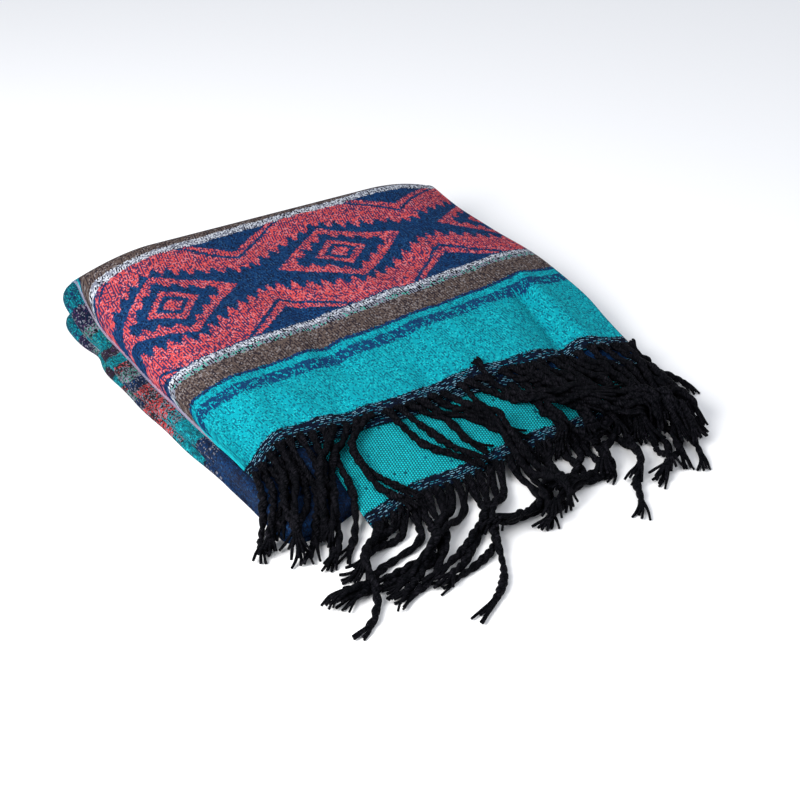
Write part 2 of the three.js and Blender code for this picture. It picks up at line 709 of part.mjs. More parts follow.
// The plan of one strand: straight out from its root in the strip, then over to its tip.
function strandPlan(root, tip, bow) {
  const run = new THREE.Vector2(tip.x - root.x, tip.y - root.y);
  const leave = Math.abs(run.y) < SHORT_RUN ? SHORT_LEAVE : LONG_LEAVE;
  const side = new THREE.Vector2(-run.y, run.x).normalize();
  const path = STRAND_BENDS.map((t) => {
    const lean = t * (1 - 2 * leave * (1 - t));
    const straight = 2 * t * (1 - t) * leave * run.length() * Math.sign(run.y);
    const swing = bow * Math.sin(Math.PI * t);
    const x = root.x + run.x * lean + side.x * swing;
    const y = root.y + run.y * lean + straight + side.y * swing;
    return new THREE.Vector3(x, y, 0);
  });
  path[0].z = root.z;
  return path;
}

// A strand as a three-sided rod along its path.
function strandSolid(path) {
  const points = [];
  const faces = [];
  path.forEach((p, n) => {
    const ahead = path[Math.min(n + 1, path.length - 1)].clone();
    const way = ahead.sub(path[Math.max(n - 1, 0)]).normalize();
    const side = new THREE.Vector3(way.y, -way.x, 0).normalize();
    const lift = new THREE.Vector3().crossVectors(side, way);
    for (let m = 0; m < STRAND_SIDES; m += 1) {
      const a = (2 * Math.PI * m) / STRAND_SIDES + Math.PI / 2;
      points.push(p.clone().addScaledVector(side, STRAND_RADIUS * Math.cos(a))
        .addScaledVector(lift, STRAND_RADIUS * Math.sin(a)));
    }
  });
  for (let n = 0; n < path.length - 1; n += 1) {
    for (let m = 0; m < STRAND_SIDES; m += 1) {
      const k = (m + 1) % STRAND_SIDES;
      const [a, b] = [n * STRAND_SIDES + m, n * STRAND_SIDES + k];
      faces.push(a, b + STRAND_SIDES, b, a, a + STRAND_SIDES, b + STRAND_SIDES);
    }
  }
  const end = (path.length - 1) * STRAND_SIDES;
  faces.push(0, 1, 2, end, end + 2, end + 1);
  return geometryOf(points, faces);
}

// A geometry as a solid that can be joined to others.
function toManifold(geometry) {
  const merged = mergeVertices(geometry, WELD);
  return new wasm.Manifold(new wasm.Mesh({
    numProp: 3,
    vertProperties: Float32Array.from(merged.attributes.position.array),
    triVerts: Uint32Array.from(merged.index.array),
  }));
}

// The geometry of a joined solid.
function fromManifold(solid) {
  const mesh = solid.getMesh();
  const geometry = new THREE.BufferGeometry();
  geometry.setAttribute('position', new THREE.BufferAttribute(mesh.vertProperties, 3));
  geometry.setIndex(Array.from(mesh.triVerts));
  return geometry;
}

// Where one strand of a lock runs, before it is laid down.
function plannedStrand(lock, n, number, front, layers) {
  const share = lock.count === 1 ? 0.5 : n / (lock.count - 1);
  const x = mix(lock.from, lock.to, share);
  const y = front(x) - SEAM - STRAND_ROOT;
  const root = new THREE.Vector3(x, y, faceHeight(x, y) - layers * LAYER * steepness(x, y));
  const middle = (lock.from + lock.to) / 2;
  const way = new THREE.Vector2(lock.tipX - middle, lock.tipY - y).normalize();
  const seat = (share - 0.5) * (lock.count - 1) * lock.fan;
  const tip = new THREE.Vector2(lock.tipX - way.y * seat, lock.tipY + way.x * seat);
  tip.addScaledVector(way, TIP_SCATTER * uneven(number * 3 + lock.count));
  return strandPlan(root, tip, lock.bow * (1 + BOW_SCATTER * uneven(n + lock.from)));
}

// The strands of a table of locks, laid one after another on the ground.
function layStrands(locks, front, layers, ground) {
  const strands = [];
  const laid = new Ground();
  for (const lock of locks) {
    for (let n = 0; n < lock.count; n += 1) {
      const plan = plannedStrand(lock, n, strands.length, front, layers);
      const path = settle(plan, ground, laid);
      laid.addStrand(path);
      strands.push(path);
    }
  }
  return strands;
}

// One fringe: a narrow strip along the cloth's edge with its strands.
function fringe(name, stripGeometry, strands) {
  const rods = strands.map((path) => toManifold(strandSolid(path)));
  const solid = rods.reduce((whole, rod) => whole.add(rod), toManifold(stripGeometry));
  return named(name, fromManifold(solid), COLOURS.black);
}

// ---------------------------------------------------------------- the whole shawl

// The cloth pieces, from the bottom up.
function clothPieces() {
  const flap = layerSolid([COL.flap, COL.inner], [ROW.hidden, ROW.flap], 2);
  const second = layerSolid([COL.second, COL.inner], [ROW.hidden, ROW.second], 1);
  return [
    named('packed_layers', packedLayers(), COLOURS.navy),
    named('under_flap', flap, COLOURS.teal),
    named('second_panel', second, COLOURS.navy),
    named('top_panel', topPanel(), COLOURS.coral),
  ];
}

// The fringes' names, places and locks, with the strips that the strands hang from.
function fringeRows() {
  const rows = [
    { name: 'under_fringe', cols: [COL.flap, COL.inner], row: ROW.flap + 1, layers: 2,
      locks: UNDER_LOCKS, front: flapFront },
    { name: 'second_fringe', cols: [COL.second, COL.inner], row: ROW.second + 1, layers: 1,
      locks: SECOND_LOCKS, front: secondFront },
    { name: 'top_fringe', cols: [COL.top, COL.right], row: ROW.top + 1, layers: 0,
      locks: TOP_LOCKS, front: topFront },
  ];
  return rows.map((row) => ({ ...row, strip: layerSolid(row.cols, [row.row, row.row + 1], row.layers) }));
}

// The shawl: its cloth, then its fringes, each laid over what is there.
function buildShawl() {
  const shawl = new THREE.Group();
  shawl.name = 'meditation_shawl';
  const cloth = clothPieces();
  shawl.add(...cloth);
  const fringes = fringeRows();
  const laid = [];
  for (const item of fringes) {
    const ground = new Ground();
    cloth.forEach((mesh) => ground.addMesh(mesh.geometry));
    fringes.filter((other) => other !== item).forEach((other) => ground.addMesh(other.strip));
    laid.forEach((path) => ground.addStrand(path));
    const strands = layStrands(item.locks, item.front, item.layers, ground);
    laid.push(...strands);
    shawl.add(fringe(item.name, item.strip, strands));
  }
  return shawl;
}

export default buildShawl();
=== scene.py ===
import logging
import math
from dataclasses import dataclass, field, replace
from enum import Enum
from typing import Any, Callable, Iterable, Mapping, Sequence

import bpy
import numpy as np
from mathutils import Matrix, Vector


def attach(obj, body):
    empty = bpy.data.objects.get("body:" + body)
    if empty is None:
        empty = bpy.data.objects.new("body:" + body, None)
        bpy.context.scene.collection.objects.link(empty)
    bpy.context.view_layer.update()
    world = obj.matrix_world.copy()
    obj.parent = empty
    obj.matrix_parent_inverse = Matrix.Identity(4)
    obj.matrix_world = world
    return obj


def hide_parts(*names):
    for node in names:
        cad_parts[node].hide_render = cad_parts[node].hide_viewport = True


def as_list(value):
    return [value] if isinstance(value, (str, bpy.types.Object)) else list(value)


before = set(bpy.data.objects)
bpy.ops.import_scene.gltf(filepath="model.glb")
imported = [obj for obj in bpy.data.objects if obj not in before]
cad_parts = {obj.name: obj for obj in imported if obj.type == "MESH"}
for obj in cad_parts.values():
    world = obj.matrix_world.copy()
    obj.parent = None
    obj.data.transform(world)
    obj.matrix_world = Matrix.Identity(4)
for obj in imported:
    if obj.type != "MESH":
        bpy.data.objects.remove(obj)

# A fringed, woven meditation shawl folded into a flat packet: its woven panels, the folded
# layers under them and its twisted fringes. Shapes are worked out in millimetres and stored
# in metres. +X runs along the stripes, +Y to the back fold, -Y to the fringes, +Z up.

Array = np.ndarray
Line = Callable[[Array], Array]
Pair = tuple[float, float]
Triple = tuple[float, float, float]
Socket = bpy.types.NodeSocket
Material = bpy.types.Material
Piece = bpy.types.Object

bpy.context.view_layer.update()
MM = 0.001
UP = np.array([0.0, 0.0, 1.0])
TURN = 2 * math.pi
LOG = logging.getLogger("shawl")


# ---------- the form of the packet


@dataclass(frozen=True)
class Curve:
    """A smooth curve through a few points, level beyond its ends."""

    at: tuple[float, ...]
    values: tuple[float, ...]

    def __call__(self, where: Array) -> Array:
        """Cubic through the two nearest points, whose slopes run between their neighbours.

        Args:
            where: places along the curve.

        Returns:
            The curve's value at each place.
        """
        xs, ys = np.array(self.at, float), np.array(self.values, float)
        before = np.maximum(np.arange(len(xs)) - 1, 0)
        after = np.minimum(np.arange(len(xs)) + 1, len(xs) - 1)
        slopes = (ys[after] - ys[before]) / (xs[after] - xs[before])
        x = np.clip(where, xs[0], xs[-1])
        n = np.clip(np.searchsorted(xs, x, side="right") - 1, 0, len(xs) - 2)
        h = xs[n + 1] - xs[n]
        t = (x - xs[n]) / h
        rise = (3 - 2 * t) * t * t
        return (
            ys[n] * (1 - rise)
            + ys[n + 1] * rise
            + slopes[n] * h * t * (1 - t) ** 2
            - slopes[n + 1] * h * t * t * (1 - t)
        )


@dataclass(frozen=True)
class Crease:
    """A soft trough (negative rise) or ridge along a straight run of the lying cloth."""

    start: Pair
    end: Pair
    width: float
    rise: float

    def height(self, x: Array, y: Array) -> Array:
        """A bell across the run, level along it and round at its ends.

        Args:
            x: places along X.
            y: places along Y.

        Returns:
            What the crease adds to the height there.
        """
        dx, dy = self.end[0] - self.start[0], self.end[1] - self.start[1]
        t = ((x - self.start[0]) * dx + (y - self.start[1]) * dy) / (dx * dx + dy * dy)
        t = np.clip(t, 0, 1)
        off = np.hypot(x - self.start[0] - dx * t, y - self.start[1] - dy * t)
        return self.rise * np.exp(-((off / self.width) ** 2))


STATIONS = (-275, -240, -200, -165, -100, -50, 0, 56, 105, 145, 175)
SIDES = (-275, -240, -175, -130, -90, -45, 0, 50, 80, 105, 130, 175)
FRONTS = (-205, -184, -157, -121, -84, -40, 5, 51, 76, 111, 147, 184, 215)


@dataclass(frozen=True)
class Packet:
    """How the folded shawl lies: its outlines in plan and the height of its top face."""

    cloth: float = 3.0
    seam: float = 0.3
    steepest: float = 1.6
    crest_y: float = 162.0
    crest_skew: float = 0.0375
    back_radius: float = 20.0
    back_foot: float = 5.0
    roll_radius: float = 5.2
    right_droop: float = 70.0
    strip_width: float = 6.0
    strand_root: float = 4.0
    strip_cover: float = 0.7
    flap_west: float = -128.0
    flap_splay: float = 12.0
    flap_splay_start: float = -150.0
    flap_splay_run: float = 110.0
    left_power: float = 1.8
    right_power: float = 2.0
    probe: float = 2.0
    left_height: Line = Curve(STATIONS, (14, 19, 25, 29, 27, 26, 25, 26, 27, 36, 50))
    mid_height: Line = Curve(STATIONS, (15, 20, 26, 31, 37, 42, 48, 55, 61, 65, 65))
    right_height: Line = Curve(STATIONS, (15, 19, 24, 27, 31, 34, 38, 43, 47, 51, 53))
    droop_width: Line = Curve(STATIONS, (55, 55, 55, 55, 55, 55, 56, 60, 64, 76, 84))
    lobe_lift: Line = Curve(STATIONS, (0, 0, 0, 0, 0, 0, 0, 0, -2, 3, -2))
    left: Line = Curve(
        SIDES, (-200, -200, -200, -202, -204, -205, -206, -206, -206, -206, -205, -201)
    )
    shoulder: Line = Curve(
        SIDES, (-194, -201.5, -202.5, -204, -206, -208, -210, -211, -210, -208, -210, -208)
    )
    left_bulge: Line = Curve(SIDES, (3, 3, 3, 4, 5, 6, 7, 8, 7, 3, 7, 8))
    right: Line = Curve(SIDES, (188, 190, 194, 201, 209, 212, 211, 202, 198, 195, 194, 195))
    top_front: Line = Curve(
        FRONTS, (-176, -160, -148, -149, -150, -154, -151, -152, -157, -160, -158, -169, -174)
    )
    peep: Line = Curve(FRONTS, (8, 8, 8, 8, 8, 8, 8, 14, 20, 22, 32, 31, 20))
    flap_front: Line = Curve(
        FRONTS, (-268, -266, -264, -256, -247, -248, -243, -240, -243, -240, -235, -232, -230)
    )
    core_front: Line = Curve(
        FRONTS, (-240, -240, -236, -222, -218, -216, -214, -213, -212, -212, -213, -214, -212)
    )
    creases: tuple[Crease, ...] = (
        Crease((-45, 35), (-60, -85), 17, -4),
        Crease((152, -75), (131, -172), 13, -4.5),
        Crease((-150, -60), (-160, -150), 20, 3),
        Crease((60, -70), (88, -150), 22, 3),
        Crease((-20, 120), (120, 100), 18, -2),
    )
    ripples: tuple[Crease, ...] = (
        Crease((-178, -95), (-192, -160), 9, -2.8),
        Crease((-121, -100), (-117, -140), 13, 3.0),
        Crease((-80, -112), (-92, -150), 10, -2.6),
        Crease((2, -118), (-3, -170), 12, -3.0),
        Crease((30, -60), (45, -140), 12, 2.2),
        Crease((152, -70), (134, -165), 8, -3.4),
        Crease((112, -70), (104, -150), 13, 2.8),
        Crease((172, -40), (166, -150), 11, 3.2),
        Crease((-150, 20), (-95, 40), 15, 2.2),
        Crease((60, 30), (150, 12), 14, -2.4),
        Crease((-120, 110), (-30, 126), 14, -2.0),
        Crease((10, 60), (30, 10), 16, 2.0),
        Crease((95, 100), (110, 40), 13, 2.2),
        Crease((-60, -10), (-80, -60), 12, 2.0),
    )

    @property
    def layer(self) -> float:
        """Step from one layer down to the next."""
        return self.cloth + self.seam

    def crest(self, x: Array) -> Array:
        """Where the top face turns down into the back fold."""
        return self.crest_y - self.crest_skew * x

    def second_front(self, x: Array) -> Array:
        """Front edge of the second panel, ahead of the top panel's strip."""
        strip = self.seam + self.strip_width + self.strip_cover
        return self.top_front(x) - np.maximum(self.peep(x), strip)

    def flap_left(self, y: Array) -> Array:
        """Left edge of the under flap, which runs out towards its front."""
        share = np.clip((self.flap_splay_start - y) / self.flap_splay_run, 0, 1)
        return self.flap_west - self.flap_splay * share

    def face(self, x: Array, y: Array) -> Array:
        """Height of the top face: a level middle less a droop to each side, plus creases.

        Args:
            x: places along X.
            y: places along Y.

        Returns:
            Heights over the floor.
        """
        from_left = np.clip((x - self.left(y)) / self.droop_width(y), 0, 1)
        from_right = np.clip((self.right(y) - x) / self.right_droop, 0, 1)
        mid = self.mid_height(y)
        droop = (mid - self.left_height(y)) * (1 - from_left) ** self.left_power
        droop = droop + (mid - self.right_height(y)) * (1 - from_right) ** self.right_power
        lines = self.creases + self.ripples
        return mid - droop + sum(line.height(x, y) for line in lines)

    def steepness(self, x: Array, y: Array) -> Array:
        """How much a sloping layer thickens, measured upright: the slope's length per step.

        Args:
            x: places along X.
            y: places along Y.

        Returns:
            At least 1, and at most the steepest allowed.
        """
        d = self.probe
        sx = (self.face(x + d, y) - self.face(x - d, y)) / (2 * d)
        sy = (self.face(x, y + d) - self.face(x, y - d)) / (2 * d)
        return np.minimum(self.steepest, np.sqrt(1 + sx * sx + sy * sy))

    def layer_top(self, x: Array, y: Array, layers: Array | float) -> Array:
        """Height of the top of a layer.

        Args:
            x: places along X.
            y: places along Y.
            layers: how many layers lie over it.

        Returns:
            Heights over the floor.
        """
        return self.face(x, y) - layers * self.layer * self.steepness(x, y)


PACKET = Packet()


@dataclass(frozen=True)
class Stretch:
    """A stretch of cloth in the packet: the four lines round it, and the layers that lie on it.

    The side lines are given over Y, the end lines over X.
    """

    west: Line
    east: Line
    back: Line
    front: Line
    layers: float
    rounds: int = 3

    def net(self, columns: int, rows: int) -> Array:
        """A net of points over the stretch, at its height in the packet.

        Each point lies at its shares between the side lines and between the end lines, which
        a few rounds of working out one from the other bring together.

        Args:
            columns: points from the west line to the east line.
            rows: points from the back line to the front line.

        Returns:
            Points, columns by rows by X, Y and Z.
        """
        a, b = np.meshgrid(np.linspace(0, 1, columns), np.linspace(0, 1, rows), indexing="ij")
        y = np.zeros_like(a)
        for _ in range(self.rounds):
            x = self.west(y) * (1 - a) + self.east(y) * a
            y = self.back(x) * (1 - b) + self.front(x) * b
        return np.stack([x, y, PACKET.layer_top(x, y, self.layers)], -1)

    def strip(self) -> "Stretch":
        """The narrow strip ahead of the front edge, which a fringe hangs from.

        Returns:
            The strip, as a stretch of its own.
        """
        gap, width = PACKET.seam, PACKET.strip_width
        return replace(
            self,
            back=lambda x: self.front(x) - gap,
            front=lambda x: self.front(x) - gap - width,
        )


# ---------- meshes


def unit(vectors: Array) -> Array:
    """The vectors at length one."""
    return vectors / np.maximum(np.linalg.norm(vectors, axis=-1, keepdims=True), 1e-9)


def smoothstep(t: Array) -> Array:
    """A soft step from 0 to 1."""
    t = np.clip(t, 0, 1)
    return t * t * (3 - 2 * t)


def uneven(n: Array | float) -> Array:
    """A steady number between -1 and 1 for each number: the wild part of a steep sine."""
    wave = np.sin(np.asarray(n, float) * 12.9898 + 4.1) * 437.585
    return 2 * (wave - np.floor(wave)) - 1


def grid_faces(index: Array) -> Array:
    """Four-sided faces between the neighbours of a grid of point numbers.

    Args:
        index: point numbers, columns by rows.

    Returns:
        Four point numbers a face.
    """
    a, b = index[:-1, :-1], index[:-1, 1:]
    c, d = index[1:, 1:], index[1:, :-1]
    return np.stack([a, b, c, d], -1).reshape(-1, 4)


def grid_normals(points: Array) -> Array:
    """Directions square to a grid of points: the cross product of its two slopes."""
    return unit(np.cross(np.gradient(points, axis=1), np.gradient(points, axis=0)))


def lengths(points: Array, axis: int = 0) -> Array:
    """Length up to each point along one axis of a grid of points."""
    first = np.take(points, [0], axis)
    return np.cumsum(np.linalg.norm(np.diff(points, axis=axis, prepend=first), axis=-1), axis)


def square_to(paths: Array) -> tuple[Array, Array]:
    """Directions square to each path at each of its points: a level one, and the other.

    Args:
        paths: paths by points.

    Returns:
        Both directions at each point.
    """
    way = unit(np.gradient(paths, axis=1))
    side = unit(np.cross(way, UP) + np.array([1e-6, 0, 0]))
    return side, np.cross(side, way)


def ring_round(grid: Array, reach: float) -> Array:
    """Extends a grid by one ring that carries on past its border by a reach.

    Args:
        grid: places on a grid, whose last axis holds their coordinates.
        reach: how far the ring lies beyond the border.

    Returns:
        The larger grid.
    """
    around = ((1, 1), (1, 1), (0, 0))
    edge = np.pad(grid, around, mode="edge")
    onward = np.pad(grid, around, mode="reflect", reflect_type="odd")
    return edge + unit(onward - edge) * reach


@dataclass
class Surface:
    """Points, faces and texture places of a mesh that is being made."""

    rim_reach: float = 0.42
    rim_places: float = 0.8
    points: list[Array] = field(default_factory=list)
    faces: list[tuple[Array, Array, int]] = field(default_factory=list)
    count: int = 0

    def add(self, points: Array) -> int:
        """Adds points.

        Args:
            points: any array whose last axis is X, Y and Z.

        Returns:
            The number of the first one.
        """
        first = self.count
        self.points.append(points.reshape(-1, 3))
        self.count += len(self.points[-1])
        return first

    def fill(self, faces: Array, places: Array, finish: int = 0) -> None:
        """Adds faces.

        Args:
            faces: point numbers, one face a row.
            places: texture places of each corner, in millimetres of cloth.
            finish: which of the piece's finishes they take.
        """
        self.faces.append((faces, places.reshape(faces.shape + (4,)), finish))

    def add_sheet(self, outer: Array, places: Array, wall: float) -> None:
        """Adds a closed sheet: an outer face, an inner face a wall under it, and a round rim.

        The inner face follows the outer one square to it. Both share one ring of points, half
        a wall down and a little beyond the border, which rounds the edge.

        Args:
            outer: outer points, columns by rows, with the rows to the right of the columns.
            places: texture places of the outer points.
            wall: thickness of the cloth.
        """
        inner = outer - grid_normals(outer) * wall
        ring = ring_round((outer + inner) / 2, self.rim_reach * wall)
        halves = (places[..., :2], places[..., 2:])
        spread = np.concatenate([ring_round(half, self.rim_places * wall) for half in halves], -1)
        inside = (slice(1, -1), slice(1, -1))
        border = np.ones(ring.shape[:2], bool)
        border[inside] = False
        count = np.arange(outer[..., 0].size).reshape(outer.shape[:2])
        top, under = np.zeros(border.shape, int), np.zeros(border.shape, int)
        top[inside] = self.add(outer) + count
        under[inside] = self.add(inner) + count
        top[border] = under[border] = self.add(ring[border]) + np.arange(border.sum())
        numbers = grid_faces(np.arange(border.size).reshape(border.shape))
        marks = spread.reshape(-1, 4)
        self.fill(grid_faces(top), marks[numbers])
        self.fill(grid_faces(under)[:, ::-1], marks[numbers[:, ::-1]])

    def add_tubes(
        self, paths: Array, radii: Array, sides: int, turn: Array, finish: int
    ) -> None:
        """Adds round rods along many paths at once, each closed by a face at either end.

        A ring of points stands square to the path at each of its points: the middle plus the
        radius times cosine along a level side vector and sine along the lifted one.

        Args:
            paths: rods by points by X, Y and Z.
            radii: rods by points.
            sides: corners of a ring.
            turn: rods by points, by which the rings' own marks are turned round the rod.
            finish: which of the piece's finishes they take.
        """
        side, lift = square_to(paths)
        angle = (np.arange(sides) * TURN / sides)[:, None]
        ring = side[:, :, None] * np.cos(angle) + lift[:, :, None] * np.sin(angle)
        rods, steps = paths.shape[:2]
        first = self.add(paths[:, :, None] + ring * radii[:, :, None, None])
        index = first + np.arange(rods * steps * sides).reshape(rods, steps, sides)
        near, far = index[:, :-1], index[:, 1:]
        quads = np.stack([near, np.roll(near, -1, 2), np.roll(far, -1, 2), far], -1)
        u = turn[:, :, None] + np.arange(sides + 1) / sides
        v = np.broadcast_to(lengths(paths, 1)[:, :, None], u.shape)
        marks = np.stack([u, v, u * 0 + np.arange(rods)[:, None, None], v * 0], -1)
        near, far = marks[:, :-1], marks[:, 1:]
        corners = np.stack([near[:, :, :-1], near[:, :, 1:], far[:, :, 1:], far[:, :, :-1]], -2)
        self.fill(quads.reshape(-1, 4)[:, ::-1], corners.reshape(-1, 4, 4)[:, ::-1], finish)
        ends = np.concatenate([index[:, 0], index[:, -1, ::-1]])
        tips = np.concatenate([marks[:, 0, :1], marks[:, -1, :1]])
        self.fill(ends, np.repeat(tips, sides, 1), finish)

    def build(self, name: str, finishes: Sequence[Material]) -> Piece:
        """Makes the object, in metres, at the origin.

        Args:
            name: the piece's name.
            finishes: its materials.

        Returns:
            The new object, whose UV maps are cloth and edges.
        """
        mesh = bpy.data.meshes.new(name)
        points = np.concatenate(self.points) * MM
        sizes = np.concatenate([np.full(len(f), f.shape[1]) for f, _, _ in self.faces])
        starts = np.concatenate([[0], np.cumsum(sizes)[:-1]])
        corners = np.concatenate([f.ravel() for f, _, _ in self.faces])
        places = np.concatenate([p.reshape(-1, 4) for _, p, _ in self.faces]) * MM
        kinds = np.concatenate([np.full(len(f), k) for f, _, k in self.faces])
        mesh.vertices.add(len(points))
        mesh.vertices.foreach_set("co", points.astype(np.float32).ravel())
        mesh.loops.add(len(corners))
        mesh.loops.foreach_set("vertex_index", corners.astype(np.int32))
        mesh.polygons.add(len(sizes))
        mesh.polygons.foreach_set("loop_start", starts.astype(np.int32))
        mesh.update(calc_edges=True)
        for title, columns in (("cloth", slice(0, 2)), ("edges", slice(2, 4))):
            layer = mesh.uv_layers.new(name=title)
            layer.data.foreach_set("uv", places[:, columns].astype(np.float32).ravel())
        mesh.polygons.foreach_set("material_index", kinds.astype(np.int32))
        mesh.polygons.foreach_set("use_smooth", np.ones(len(sizes), bool))
        mesh.validate()
        for finish in finishes:
            mesh.materials.append(finish)
        piece = bpy.data.objects.new(name, mesh)
        bpy.context.scene.collection.objects.link(piece)
        return piece


# ---------- yarns and shading


class Yarn(Enum):
    """Colours of the yarns, and of two painted highlights, as screen values from 0 to 255."""

    CORAL = (212, 80, 82)
    ROSE = (72, 46, 86)
    SALMON = (222, 126, 134)
    NAVY = (8, 55, 103)
    INK = (8, 29, 60)
    SLATE = (34, 78, 122)
    TEAL = (0, 166, 182)
    DEEP_TEAL = (0, 112, 134)
    AQUA = (24, 196, 206)
    PINE = (0, 86, 98)
    BROWN = (98, 84, 78)
    UMBER = (50, 42, 46)
    STONE = (134, 126, 126)
    WHITE = (214, 220, 230)
    LILAC_HIGHLIGHT = (170, 160, 186)
    GREY = (138, 142, 158)
    MIST = (116, 156, 176)
    BLACK = (18, 18, 26)
    MINT = (80, 176, 160)
    SOOT = (2, 3, 5)
    # The colour of the painted glints on the fringe yarn.
    FIBRE_GLINT = (40, 38, 45)

    @property
    def linear(self) -> tuple[float, float, float, float]:
        """The colour as scene light, by the screen's own curve.

        Returns:
            Red, green, blue and 1.
        """
        shares = [value / 255 for value in self.value]
        light = [s / 12.92 if s <= 0.04045 else ((s + 0.055) / 1.055) ** 2.4 for s in shares]
        return (light[0], light[1], light[2], 1.0)


def operator(operation: str, swapped: bool = False) -> Callable[["Wire", Any], "Wire"]:
    """An operator of Wire that adds one Math node.

    Args:
        operation: what the node does.
        swapped: whether the other number comes first.

    Returns:
        The method.
    """

    def method(self: "Wire", other: "Wire | float") -> "Wire":
        """The result of the node."""
        ends = (other, self) if swapped else (self, other)
        return self.graph.maths(operation, *ends)

    return method


class Wire:
    """A number on its way through a material's nodes; expressions on it add Math nodes."""

    def __init__(self, graph: "Graph", socket: Socket) -> None:
        """Keeps the node socket that the number comes from."""
        self.graph = graph
        self.socket = socket

    __add__ = __radd__ = operator("ADD")
    __sub__ = operator("SUBTRACT")
    __rsub__ = operator("SUBTRACT", swapped=True)
    __mul__ = __rmul__ = operator("MULTIPLY")
    __truediv__ = operator("DIVIDE")
    __rpow__ = operator("POWER", swapped=True)
    __lt__ = operator("LESS_THAN")
    __gt__ = operator("GREATER_THAN")
    most = operator("MAXIMUM")
    least = operator("MINIMUM")

    def __abs__(self) -> "Wire":
        """This without its sign."""
        return self.graph.maths("ABSOLUTE", self)

    def floor(self) -> "Wire":
        """The whole number below."""
        return self.graph.maths("FLOOR", self)

    def part(self) -> "Wire":
        """What is left past the whole number below."""
        return self.graph.maths("FRACT", self)

    def clipped(self) -> "Wire":
        """This, but at least 0 and at most 1."""
        return self.most(0.0).least(1.0)

    def sine(self) -> "Wire":
        """The sine of this."""
        return self.graph.maths("SINE", self)


@dataclass(frozen=True)
class Feel:
    """Depth of a finish's relief in millimetres, its roughness and its share of gloss."""

    depth: float = 0.55
    roughness: float = 0.92
    gloss: float = 0.08


class Graph:
    """A material and the ways of adding nodes to it."""

    def __init__(self, name: str) -> None:
        """Starts a material with one Principled shader.

        Args:
            name: of the material.
        """
        self.material = bpy.data.materials.new(name)
        self.material.use_nodes = True
        self.tree = self.material.node_tree
        self.shader = self.tree.nodes["Principled BSDF"]

    def node(
        self,
        kind: str,
        settings: Mapping[str, Any] | None = None,
        inputs: Mapping[int | str, Any] | None = None,
    ) -> bpy.types.Node:
        """Adds a node.

        Args:
            kind: its type.
            settings: its own settings, set first; stops are a colour ramp's.
            inputs: values, wires or sockets for its inputs.

        Returns:
            The node.
        """
        made = self.tree.nodes.new(kind)
        for key, value in (settings or {}).items():
            if key == "stops":
                ramp = made.color_ramp
                ramp.interpolation = "CONSTANT"
                while len(ramp.elements) < len(value):
                    ramp.elements.new(1.0)
                for element, (at, colour) in zip(ramp.elements, value):
                    element.position = at
                    element.color = colour
            else:
                setattr(made, key, value)
        for key, value in (inputs or {}).items():
            source = value.socket if isinstance(value, Wire) else value
            if isinstance(source, Socket):
                self.tree.links.new(source, made.inputs[key])
            else:
                made.inputs[key].default_value = source
        return made

    def maths(self, operation: str, *values: Wire | float) -> Wire:
        """Adds a Math node and gives its result."""
        made = self.node("ShaderNodeMath", {"operation": operation}, dict(enumerate(values)))
        return Wire(self, made.outputs[0])

    def mix(self, share: Wire | float, first: Any, second: Any) -> Socket:
        """Mixes two colours.

        Args:
            share: 0 for the first, 1 for the second.
            first: a colour, yarn or colour socket.
            second: the same.

        Returns:
            The mixed colour's socket.
        """
        ends = [end.linear if isinstance(end, Yarn) else end for end in (first, second)]
        made = self.node(
            "ShaderNodeMix", {"data_type": "RGBA"}, {0: share, 6: ends[0], 7: ends[1]}
        )
        return made.outputs[2]

    def place(self, title: str) -> tuple[Wire, Wire]:
        """The two numbers of one of the piece's UV maps, in millimetres of cloth.

        Args:
            title: of the UV map.

        Returns:
            Both numbers, in millimetres.
        """
        made = self.node("ShaderNodeUVMap", {"uv_map": title})
        split = self.node("ShaderNodeSeparateXYZ", inputs={0: made.outputs[0]})
        return Wire(self, split.outputs[0]) / MM, Wire(self, split.outputs[1]) / MM

    def chance(self, x: Wire, y: Wire, seed: float) -> tuple[Wire, Wire, Wire]:
        """Three steady random numbers from 0 to 1 for each pair of numbers.

        Args:
            x: first number of the cell.
            y: its second number.
            seed: sets draws apart.

        Returns:
            Three numbers from 0 to 1.
        """
        spot = self.node("ShaderNodeCombineXYZ", inputs={0: x, 1: y, 2: seed})
        made = self.node("ShaderNodeTexWhiteNoise", inputs={"Vector": spot.outputs[0]})
        split = self.node("ShaderNodeSeparateColor", inputs={0: made.outputs["Color"]})
        return tuple(Wire(self, split.outputs[n]) for n in range(3))

    def cloud(self, x: Wire, y: Wire, size: float, seed: float, detail: float = 2.0) -> Wire:
        """A soft noise from 0 to 1.

        Args:
            x: first place, in millimetres.
            y: second place, in millimetres.
            size: about how wide its patches are, in millimetres.
            seed: which of many noises.
            detail: how many finer ones are added.

        Returns:
            The noise.
        """
        spot = self.node("ShaderNodeCombineXYZ", inputs={0: x / size, 1: y / size, 2: seed})
        made = self.node(
            "ShaderNodeTexNoise", inputs={"Vector": spot.outputs[0], "Scale": 1.0, "Detail": detail}
        )
        return Wire(self, made.outputs[0])

    def finish(self, colour: Any, height: Wire, feel: Feel) -> Material:
        """Joins a colour and a relief to the shader.

        Args:
            colour: the colour's socket.
            height: relief from 0 to 1.
            feel: depth of the relief, roughness and gloss.

        Returns:
            The material.
        """
        depth = {"Strength": 1.0, "Distance": feel.depth * MM, "Height": height}
        bump = self.node("ShaderNodeBump", inputs=depth)
        self.tree.links.new(colour, self.shader.inputs["Base Color"])
        self.tree.links.new(bump.outputs[0], self.shader.inputs["Normal"])
        self.surface(feel)
        return self.material

    def surface(self, feel: Feel) -> None:
        """Sets the roughness and gloss, which are the same all over."""
        self.shader.inputs["Roughness"].default_value = feel.roughness
        self.shader.inputs["Specular IOR Level"].default_value = feel.gloss


